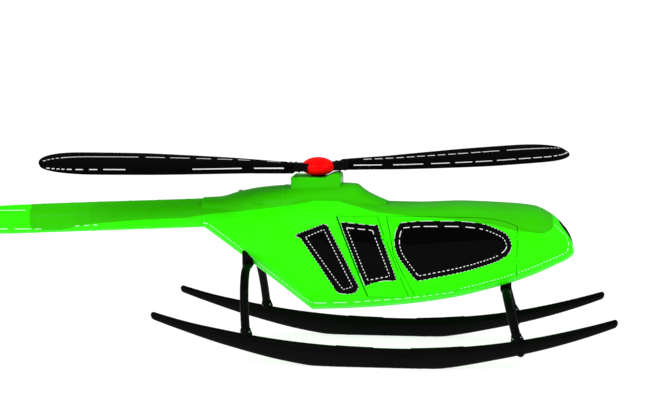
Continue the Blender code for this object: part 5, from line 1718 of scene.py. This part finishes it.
# %% Cross tubes
TUBE_RADIUS = 0.06
STRAP_RADIUS = 0.068
FRONT_TUBE = [(SKID_Y, 0.3), (0.975, 0.45), (0.85, 0.74), (0.55, 0.94), (0.25, 0.965), (0, 0.965)]
REAR_TUBE = [(SKID_Y, 0.34), (0.98, 0.5), (0.85, 0.89), (0.52, 1.2), (0.25, 1.24), (0, 1.24)]
TUBES = (("front", FRONT_TUBE, (2.785, 2.61), 0.36), ("rear", REAR_TUBE, (-0.865, -0.945), 0.3))
socket_body = turned([(0, 0), (0.088, 0), (0.088, 0.028), (0.084, 0.036), (0.071, 0.075),
                      (0.068, 0.098), (0.066, 0.101), (0, 0.101)], 40)
saddle_block = slab(rounded(box_outline(-0.075, -0.015, 0.075, 0.2), 0.02), -0.05, 0.05, 0.006)
strap_section = band(0.03, 0.009 - STRAP_RADIUS, STRAP_RADIUS, 0.003, 0.002)
strap_body = loft([[(r * cos(a), w, r * sin(a)) for w, r in strap_section]
                   for a in np.linspace(pi, 2 * pi, 25)])


def tube_half(profile, foot_x, top_x):
    """Points of one half of the arch, from the skid to the middle."""
    widths, heights = np.array(profile).T
    steps = lengths_along(profile)
    marks = np.linspace(0, steps[-1], 40)
    ys, zs = -smooth_line(list(zip(steps, -widths)))(marks), smooth_line(list(zip(steps, heights)))(marks)
    share = np.minimum(1, (zs - heights[0]) / (heights[-1] - heights[0]))
    return [spot(x, y, z) for x, y, z in zip(foot_x + (top_x - foot_x) * share, ys, zs)]


for place, profile, (foot_x, top_x), saddle_y in TUBES:
    half = tube_half(profile, foot_x, top_x)
    down = (half[0] - half[1]).normalized()
    path = [half[0] + down * 0.06] + half
    path += [Vector((point.x, -point.y, point.z)) for point in path[-2::-1]]
    piece(f"arched_tube_{place}", *rod(path, TUBE_RADIUS, 28, up=Vector((1, 0, 0))), tube_black,
          replaces=f"cross_tube_{place}")
    fittings, bolts = Shapes(), Shapes()
    for side in SIDES.values():
        axis = Vector((-down.x, -down.y * side, -down.z))
        foot = Vector((half[0].x, side * half[0].y, half[0].z))
        foot += axis * (skid_top(foot_x) - 0.02 - foot.z) / axis.z
        fittings.add(socket_body, facing(foot, axis))
        for angle in angles(4, 0.5):
            add_bolt(bolts, facing(foot, axis) @ turn_by(angle, "Z") @ shift(0.078, 0, 0.052)
                     @ turn_by(1.05, "Y"), 0.009)
        saddle = AT_MAST @ shift(top_x, side * saddle_y, profile[-1][1])
        fittings.add(saddle_block, saddle @ turn_by(pi / 2, "X")).add(strap_body, saddle)
        for end in (-1, 1):
            for w in (-0.0306, 0.0306):
                add_bolt(bolts, saddle @ facing((end * 0.0745, w, 0.03), (end, 0, 0)), 0.008)
    fittings.make(f"tube_fittings_{place}", tube_black)
    bolts.make(f"tube_bolts_{place}", bright_steel)
tell("tube")

# %% Step treads on the skids
treads = Shapes()
for side in SIDES.values():
    for low, high in ((0.35, 0.85), (1.35, 2.05)):
        treads.add(loft([[spot(x, side * SKID_Y + w, skid_top(x) + r)
                          for w, r in band(0.035, 0.012, 0.003, 0.005, 0.0015)]
                         for x in np.linspace(low, high, 24)]))
treads.make("skid_step_treads", gasket_black)
tell("treads")

# %% [markdown]
# Each door hangs on two hinges with real knuckles: two on the door's side, one between them on the
# frame's side, all on one pin line just outside the skin. The leaves are let into the door and the post.
# Each door also has a flush pull handle in a shallow dish and a key-less push button.

# %% Hinges and handles
KNUCKLE_RADIUS = 0.009
KNUCKLE_HALF = 0.015
KNUCKLE_PITCH = 0.0303
EDGE = 0.001
LEAF_START, LEAF_END = 0.005, 0.045
LEAF_DEPTH, LEAF_PROUD, LEAF_SHORT = 0.035, 0.003, 0.002
BUTTON_AHEAD = 0.095
DOORS = {"front": (0.0, (1.42, 1.74), (1.6, 1.045)), "rear": (HINGE_SLOPE, (1.22, 1.7), (0.9, 0.985))}


def hinge_half(shapes, pivot, side, slope, heights, on_door):
    """Knuckles and leaves: a door's pairs, or the frame's single ones."""
    lean = Matrix.Translation(pivot) @ turn_by(-atan(slope), "Y")
    reach, levels = (-1, (-1, 1)) if on_door else (1, (0,))
    for height in heights:
        for level in levels:
            middle = (height - pivot.z) * hypot(1, slope) + level * KNUCKLE_PITCH
            low, high = middle - KNUCKLE_HALF, middle + KNUCKLE_HALF
            inner = KNUCKLE_RADIUS - EDGE
            shapes.add(turned([(0, high), (inner, high), (KNUCKLE_RADIUS, high - EDGE),
                               (KNUCKLE_RADIUS, low + EDGE), (inner, low), (0, low)], 24), lean)
            leaf = box_outline(reach * LEAF_START, -side * LEAF_DEPTH, reach * LEAF_END, side * LEAF_PROUD)
            shapes.add(slab(leaf, low + LEAF_SHORT, high - LEAF_SHORT, EDGE), lean)


dish_body = slab(oblong(0.15, 0.045), -0.004, 0.0022, 0.002)
paddle_body = slab(oblong(0.125, 0.026), 0, 0.0065, 0.003)
button_body = turned([(0, 0.007), (0.0075, 0.007), (0.009, 0.0055), (0.009, 0), (0, 0)], 24)
posts = Shapes()
for hand, side in SIDES.items():
    for place, (slope, heights, handle) in DOORS.items():
        pivot = Vector(joints[f"{place}_{hand}_door_hinge"])
        fittings = Shapes()
        hinge_half(fittings, pivot, side, slope, heights, True)
        hinge_half(posts, pivot, side, slope, heights, False)
        pull = facing(*on_skin(*handle, side))
        fittings.add(dish_body, pull).add(paddle_body, pull)
        fittings.add(button_body, pull @ shift(BUTTON_AHEAD, 0, 0))
        fittings.make(f"{place}_door_fittings_{hand}", skin_paint, f"{place}_{hand}_door")
posts.make("hinge_posts", skin_paint)
tell("door_fittings")

# %% [markdown]
# Rows of flush rivets hold the skins to the frames inside: along the bulkhead, the nose joint, the tail
# cone's frames and the laps of the boom. Under the paint they show only as fine points of light.

# %% Rivets
RIVET_ROUTES = [
    [(BULKHEAD_X - 0.02, 0.87), (BULKHEAD_X - 0.02, 2.02)],
    [(BULKHEAD_X + 0.022, 0.9), (BULKHEAD_X + 0.022, 1.96)],
    [(-0.78, 1.24), (-0.78, 1.98)], [(-1.24, 1.56), (-1.24, 1.98)],
    [(NOSE_JOINT_X + 0.035, 1.29), (NOSE_JOINT_X + 0.035, 1.84)],
    [(0.36, 2.015), (2.2, 2.015), (2.45, 1.992), (2.6, 1.955), (2.75, 1.895)],
    [(-0.22, 2.015), (0.28, 2.015)],
    [(0.02, 0.7), (0.62, 0.745), (1.38, 0.815), (1.88, 0.895)]]
RIVETS_AROUND = 24
UNDER_COVER = 0.86
LAP_PROUD = 0.0018
rivets = Shapes()
for side in SIDES.values():
    for route in RIVET_ROUTES:
        lengths = lengths_along(route)
        for s in np.arange(0, lengths[-1], RIVET_SPACING):
            x, z = (np.interp(s, lengths, row) for row in zip(*route))
            rivets.add(rivet_body, facing(*on_skin(x, z, side)))
for x in BOOM_LAPS:
    for offset in (-0.017, 0.017):
        for angle in angles(RIVETS_AROUND, 0.5):
            if cos(angle) < UNDER_COVER:
                normal = Vector((0, sin(angle), cos(angle)))
                place = spot(x + offset, 0, boom_z(x)) + normal * (boom_radius(x) + LAP_PROUD)
                rivets.add(rivet_body, facing(place, normal))
rivets.make("skin_rivets", skin_paint)
tell("rivets")

# %% [markdown]
# The cabin shows only when a door opens, but it is all there. Each seat is a moulded shell on a box foot,
# with two cushions. A cushion starts as a rounded block, gets an even skin of small faces, is blown up as
# cloth while its sewn channels are held down, and stays flat where it rests on the shell. It is simulated
# once for each size and then used for every seat of that size.

# %% Cushions
PAD_VOXEL = 0.006
PAD_SWELL = 0.014
PAD_PRESSURE = 4
PAD_FRAMES = 20
SEAM_REACH = 0.004
SEAM_STEP = 0.012
SEAM_DIP = 0.005
WELT_WIDTH = 0.02


def corners_of(vertices):
    return np.array([tuple(vertex.co) for vertex in vertices])


def swollen_pad(half_x, half_y, half_z, seams):
    """Points and faces of a cushion; seams are the y places of the channels sewn in its top."""
    block = slab(rounded(box_outline(-half_x, -half_y, half_x, half_y), 0.035), -half_z, half_z, 0.016, 4)
    obj = new_object("pad", mesh_of("pad", *block))
    remesh = obj.modifiers.new("even", "REMESH")
    remesh.mode = "VOXEL"
    remesh.voxel_size = PAD_VOXEL
    obj.data = applied(obj)
    obj.modifiers.clear()
    start = corners_of(obj.data.vertices)
    swollen = start
    on_top = start[:, 2] > 0
    from_seam = np.abs(start[:, 1:2] - np.array(seams)).min(axis=1)
    welt = (np.abs(start[:, 2]) < SEAM_REACH) & (np.abs(start[:, :2]) > np.array(
        [half_x - WELT_WIDTH, half_y - WELT_WIDTH])).any(axis=1)
    sewn = np.nonzero((from_seam < SEAM_REACH) & on_top | welt)[0]
    obj.vertex_groups.new(name="sewn").add([int(k) for k in sewn], 1.0, "REPLACE")
    cloth = obj.modifiers.new("cloth", "CLOTH").settings
    cloth.use_pressure = True
    cloth.uniform_pressure_force = PAD_PRESSURE
    cloth.effector_weights.gravity = 0
    cloth.vertex_group_mass = "sewn"
    for step in range(1, PAD_FRAMES + 1):
        scene.frame_set(step)
    blown = obj.evaluated_get(bpy.context.evaluated_depsgraph_get()).data
    move = corners_of(blown.vertices) - start
    scene.frame_set(1)
    length = np.maximum(np.linalg.norm(move, axis=1), 1e-9)[:, None]
    swollen = start + move * np.minimum(1, PAD_SWELL / length)
    swollen[:, 2] -= np.where(on_top, np.exp(-(from_seam / SEAM_STEP) ** 2) * SEAM_DIP, 0)
    swollen[:, 2] = np.maximum(swollen[:, 2], -half_z)
    faces = [tuple(polygon.vertices) for polygon in obj.data.polygons]
    bpy.data.objects.remove(obj)
    return [Vector(point) for point in swollen], faces


def add_pad(name, pad, place):
    piece(name, *moved(pad, place), seat_cloth, sharp=80)


def leaning(place, lean):
    """A frame on a seat's back: its normal looks forward and up, and its X runs up the back."""
    return facing(place, (lean[1], 0, lean[0]), Vector((-lean[0], 0, lean[1])))


seat_pad = swollen_pad(0.235, 0.19, 0.04, (-0.065, 0.065))
back_pad = swollen_pad(0.265, 0.19, 0.04, (-0.065, 0.065))
bench_pad = swollen_pad(0.215, 0.165, 0.038, (0,))
bench_back_pad = swollen_pad(0.275, 0.165, 0.032, (0,))
print("faces on a cushion:", len(seat_pad[1]))

# %% Front seats
SEAT_Y = 0.34
SEAT_HALF = 0.21
FLOOR_TOP = 0.8607
SEAT_LEAN = (0.14, 0.58)
SEAT_SHELL = [(1.14, 1.03), (1.68, 1.03), (1.7, 1.068), (1.22, 1.068), (1.205, 1.118), (1.068, 1.7),
              (1.072, 1.765), (1.03, 1.76), (1.02, 1.66)]
SEAT_FOOT = [(1.2, FLOOR_TOP), (1.45, FLOOR_TOP), (1.6, 0.8862), (1.6, 1.032), (1.2, 1.032)]
LAP_BELT = [(1.24, 0.217, 1.06), (1.27, 0.216, 1.13), (1.31, 0.165, 1.168), (1.345, 0, 1.173),
            (1.31, -0.165, 1.168), (1.27, -0.216, 1.13), (1.24, -0.217, 1.06)]
SHOULDER_BELT = [(1.325, 0, 1.182), (1.285, 0.03, 1.25), (1.246, 0.06, 1.4), (1.185, 0.1, 1.655),
                 (1.13, 0.115, 1.755), (1.05, 0.12, 1.778)]
WEBBING = 0.023
WEB_FLAT = 0.07


def moulded(outline, half, radius=0.02, bevel=0.01):
    """A moulding with this outline from the side, as wide as half says on each side of the middle."""
    return moved(slab(rounded(outline, radius, 4), -half, half, bevel), UPRIGHT)


def strap(points, middle, side=1, up=(0.1, 0, 1)):
    path = smooth_path([(x, middle + side * y, z) for x, y, z in points], 24)
    return rod(path, WEBBING, 12, WEB_FLAT, Vector(up))


buckle_body = slab(rounded(box_outline(-0.03, -0.028, 0.03, 0.028), 0.01), -0.004, 0.01, 0.003)
buckle_button = slab(oblong(0.03, 0.016), 0.008, 0.013, 0.002)
for hand, side in SIDES.items():
    middle = side * SEAT_Y
    shell = Shapes().add(moulded(SEAT_SHELL, SEAT_HALF, bevel=0.012), shift(0, middle, 0))
    shell.add(moulded(SEAT_FOOT, 0.075, bevel=0.008), shift(0, middle, 0))
    shell.make(f"seat_shell_{hand}", trim_black, replaces=f"seat_front_{hand}")
    add_pad(f"seat_cushion_{hand}", seat_pad, AT_MAST @ shift(1.45, middle, 1.1085))
    add_pad(f"seat_back_cushion_{hand}", back_pad, leaning(spot(1.1735, middle, 1.43), SEAT_LEAN))
    belts = Shapes().add(strap(LAP_BELT, middle)).add(strap(SHOULDER_BELT, middle, side, (1, 0, 0.3)))
    belts.make(f"seat_belts_{hand}", belt_web)
    on_lap = facing(spot(1.345, middle, 1.177), (0.1, 0, 1))
    Shapes().add(buckle_body, on_lap).add(buckle_button, on_lap).make(
        f"seat_buckle_{hand}", bright_steel)
tell("seat")

# %% [markdown]
# Three people sit on the bench across the bulkhead. Its box narrows towards the floor, because the hull
# does, and three pairs of cushions lie on it.

# %% Rear bench
BENCH_HALF = 0.53
BENCH_BACK_X = -0.2795
BENCH_FOOT_X = -0.2295
BENCH_PLACES = (-0.356, 0, 0.356)
BENCH_LEAN = (0.111, 0.677)
BENCH_TOP = [(BENCH_BACK_X, 1.02), (BENCH_BACK_X, 1.745), (-0.25, 1.745), (-0.139, 1.068), (0.335, 1.068),
             (0.335, 1.02)]
BENCH_BELT = [(-0.105, 0.14, 1.15), (-0.05, 0.12, 1.163), (0.02, 0, 1.168), (-0.05, -0.12, 1.163),
              (-0.105, -0.14, 1.15)]
bench = Shapes().add(moulded(BENCH_TOP, BENCH_HALF, 0.015))
bench.add(moulded(box_outline(BENCH_FOOT_X, FLOOR_TOP, 0.32, 1.024), 0.33, 0.015, 0.008))
bench.make("bench_shell", trim_black, replaces="rear_bench")
bench_belts = Shapes()
for k, y in enumerate(BENCH_PLACES):
    add_pad(f"bench_cushion_{k + 1}", bench_pad, AT_MAST @ shift(0.118, y, 1.1065))
    add_pad(f"bench_back_cushion_{k + 1}", bench_back_pad, leaning(spot(-0.1674, y, 1.445), BENCH_LEAN))
    bench_belts.add(strap(BENCH_BELT, y))
bench_belts.make("bench_belts", belt_web)
tell("bench")

# %% [markdown]
# The instrument panel stands on a pedestal, with a head that carries round dials. A dial is a bezel, a
# black face under glass, twelve tick marks and one pointer, and none of them is lettered. The sticks
# stand on a bar that runs out of a small control box on the floor.

# %% Instruments and controls
HEAD_X, HEAD_BACK_X = 2.421, 2.628
DIAL_Z = 1.44
TICKS_RADIUS = 0.042
DIAL_PLACES = (-0.285, -0.17, -0.055, 0.055, 0.17, 0.285)
CONSOLE = [(2.352, 1.0665), (2.62, 1.1468), (2.658, 1.5), (2.6, 1.558), (2.44, 1.538), (2.362, 1.3)]
CONTROL_BOX = [(1.752, 0.9125), (1.898, 0.9375), (1.898, 0.998), (1.752, 0.998)]
BAR_X, BAR_Z = 1.825, 0.9725
STICK = [(BAR_X, 0.972), (1.8, 1.1), (1.86, 1.3), (1.84, 1.4)]
GRIP_RADII = [0.015, 0.0175, 0.0155, 0.0175, 0.0155, 0.0175, 0.016, 0.019, 0.018]
FACING_SEATS = Matrix(((0, 0, 1, 0), (1, 0, 0, 0), (0, 1, 0, 0), (0, 0, 0, 1)))
head = slab(rounded(box_outline(-0.36, 1.34, 0.36, 1.54), 0.03), HEAD_X, HEAD_BACK_X, 0.008)
console = Shapes().add(moulded(CONSOLE, 0.15)).add(head, AT_MAST @ FACING_SEATS)
console.make("instrument_console", trim_black, replaces="instrument_panel")
bezel_body = turned([(0.043, 0), (0.044, 0.007), (0.048, 0.008), (0.05, 0.004), (0.05, 0)], 40)
face_body = turned([(0, 0.0015), (0.0435, 0.0015), (0.0435, -0.001), (0, -0.001)], 40)
pointer = slab([(-0.0022, -0.008), (0.0022, -0.008), (0.0006, 0.034), (-0.0006, 0.034)], 0.0025,
               0.0036, 0.0003, 1)
bezels, dial_faces, marks = Shapes(), Shapes(), Shapes()
random.seed(4)
for y in DIAL_PLACES:
    dial = facing(spot(HEAD_X, y, DIAL_Z), (-1, 0, 0), Vector((0, 1, 0)))
    bezels.add(bezel_body, dial)
    dial_faces.add(face_body, dial)
    for k, angle in enumerate(angles(12)):
        long = 0.01 if k % 3 == 0 else 0.006
        tick = slab(box_outline(-0.0008, 0, 0.0008, long), 0.0012, 0.0022, 0.0002, 1)
        marks.add(tick, dial @ turn_by(angle, "Z") @ shift(0, TICKS_RADIUS - long, 0))
    marks.add(pointer, dial @ turn_by(random.uniform(0.6, 5.6), "Z"))
bezels.make("dial_bezels", dull_alloy)
dial_faces.make("dial_faces", gasket_black)
marks.make("dial_marks", white_tape)
levers, grips = Shapes().add(moulded(CONTROL_BOX, 0.09, 0.012, 0.008)), Shapes()
for side in SIDES.values():
    low, high = sorted((side * 0.05, side * 0.335))
    stick = smooth_path([(x, side * 0.32, z) for x, z in STICK], 28)
    levers.add(rod([spot(BAR_X, low, BAR_Z), spot(BAR_X, high, BAR_Z)], 0.015, 20))
    levers.add(rod(stick, 0.013, 16))
    grips.add(rod(stick[20:] + [stick[-1] + (stick[-1] - stick[-2]) * 0.6], GRIP_RADII, 20))
    grips.add(button_body, facing(stick[-1] + Vector((-0.016, 0, 0)), (-1, 0, 0.3)))
levers.make("control_levers", dull_alloy, replaces="flight_controls")
grips.make("stick_grips", gasket_black)
tell("dial")

# %% [markdown]
# Three of the frame's own solids already have their real shape: the cabin floor, the bulkhead and the
# engine's case. They keep it and get better finishes in their material slots.

# %% Finishes on the frame's own solids
refinished = {"cabin_floor": floor_mat, "rear_bulkhead": headliner, "engine_block": engine_metal}
for node, finish in refinished.items():
    for slot in frame["nodes"][node].material_slots:
        slot.material = finish.material
    print("refinished:", node)

# %% [markdown]
# The helicopter stands on a plain white studio floor that reaches past the picture's edges. It is staged,
# so it counts as surroundings. It is white enough that only a soft contact shadow shows.

# %% Floor
FLOOR_HALF = 60
floor_corners = [(x, y, 0) for x, y in box_outline(-FLOOR_HALF, -FLOOR_HALF, FLOOR_HALF, FLOOR_HALF)]
floor = new_object("studio_floor", mesh_of("studio floor", floor_corners, [(0, 1, 2, 3)]))
floor_white = Finish("studio white", None, Base_Color=(0.32, 0.32, 0.32), Roughness=0.9,
                     Specular_IOR_Level=0, Emission_Color=(1, 1, 1), Emission_Strength=0.8)
floor.data.materials.append(floor_white.material)
print("triangles added:", sum(made_triangles.values()), "largest:", max(made_triangles.values()))
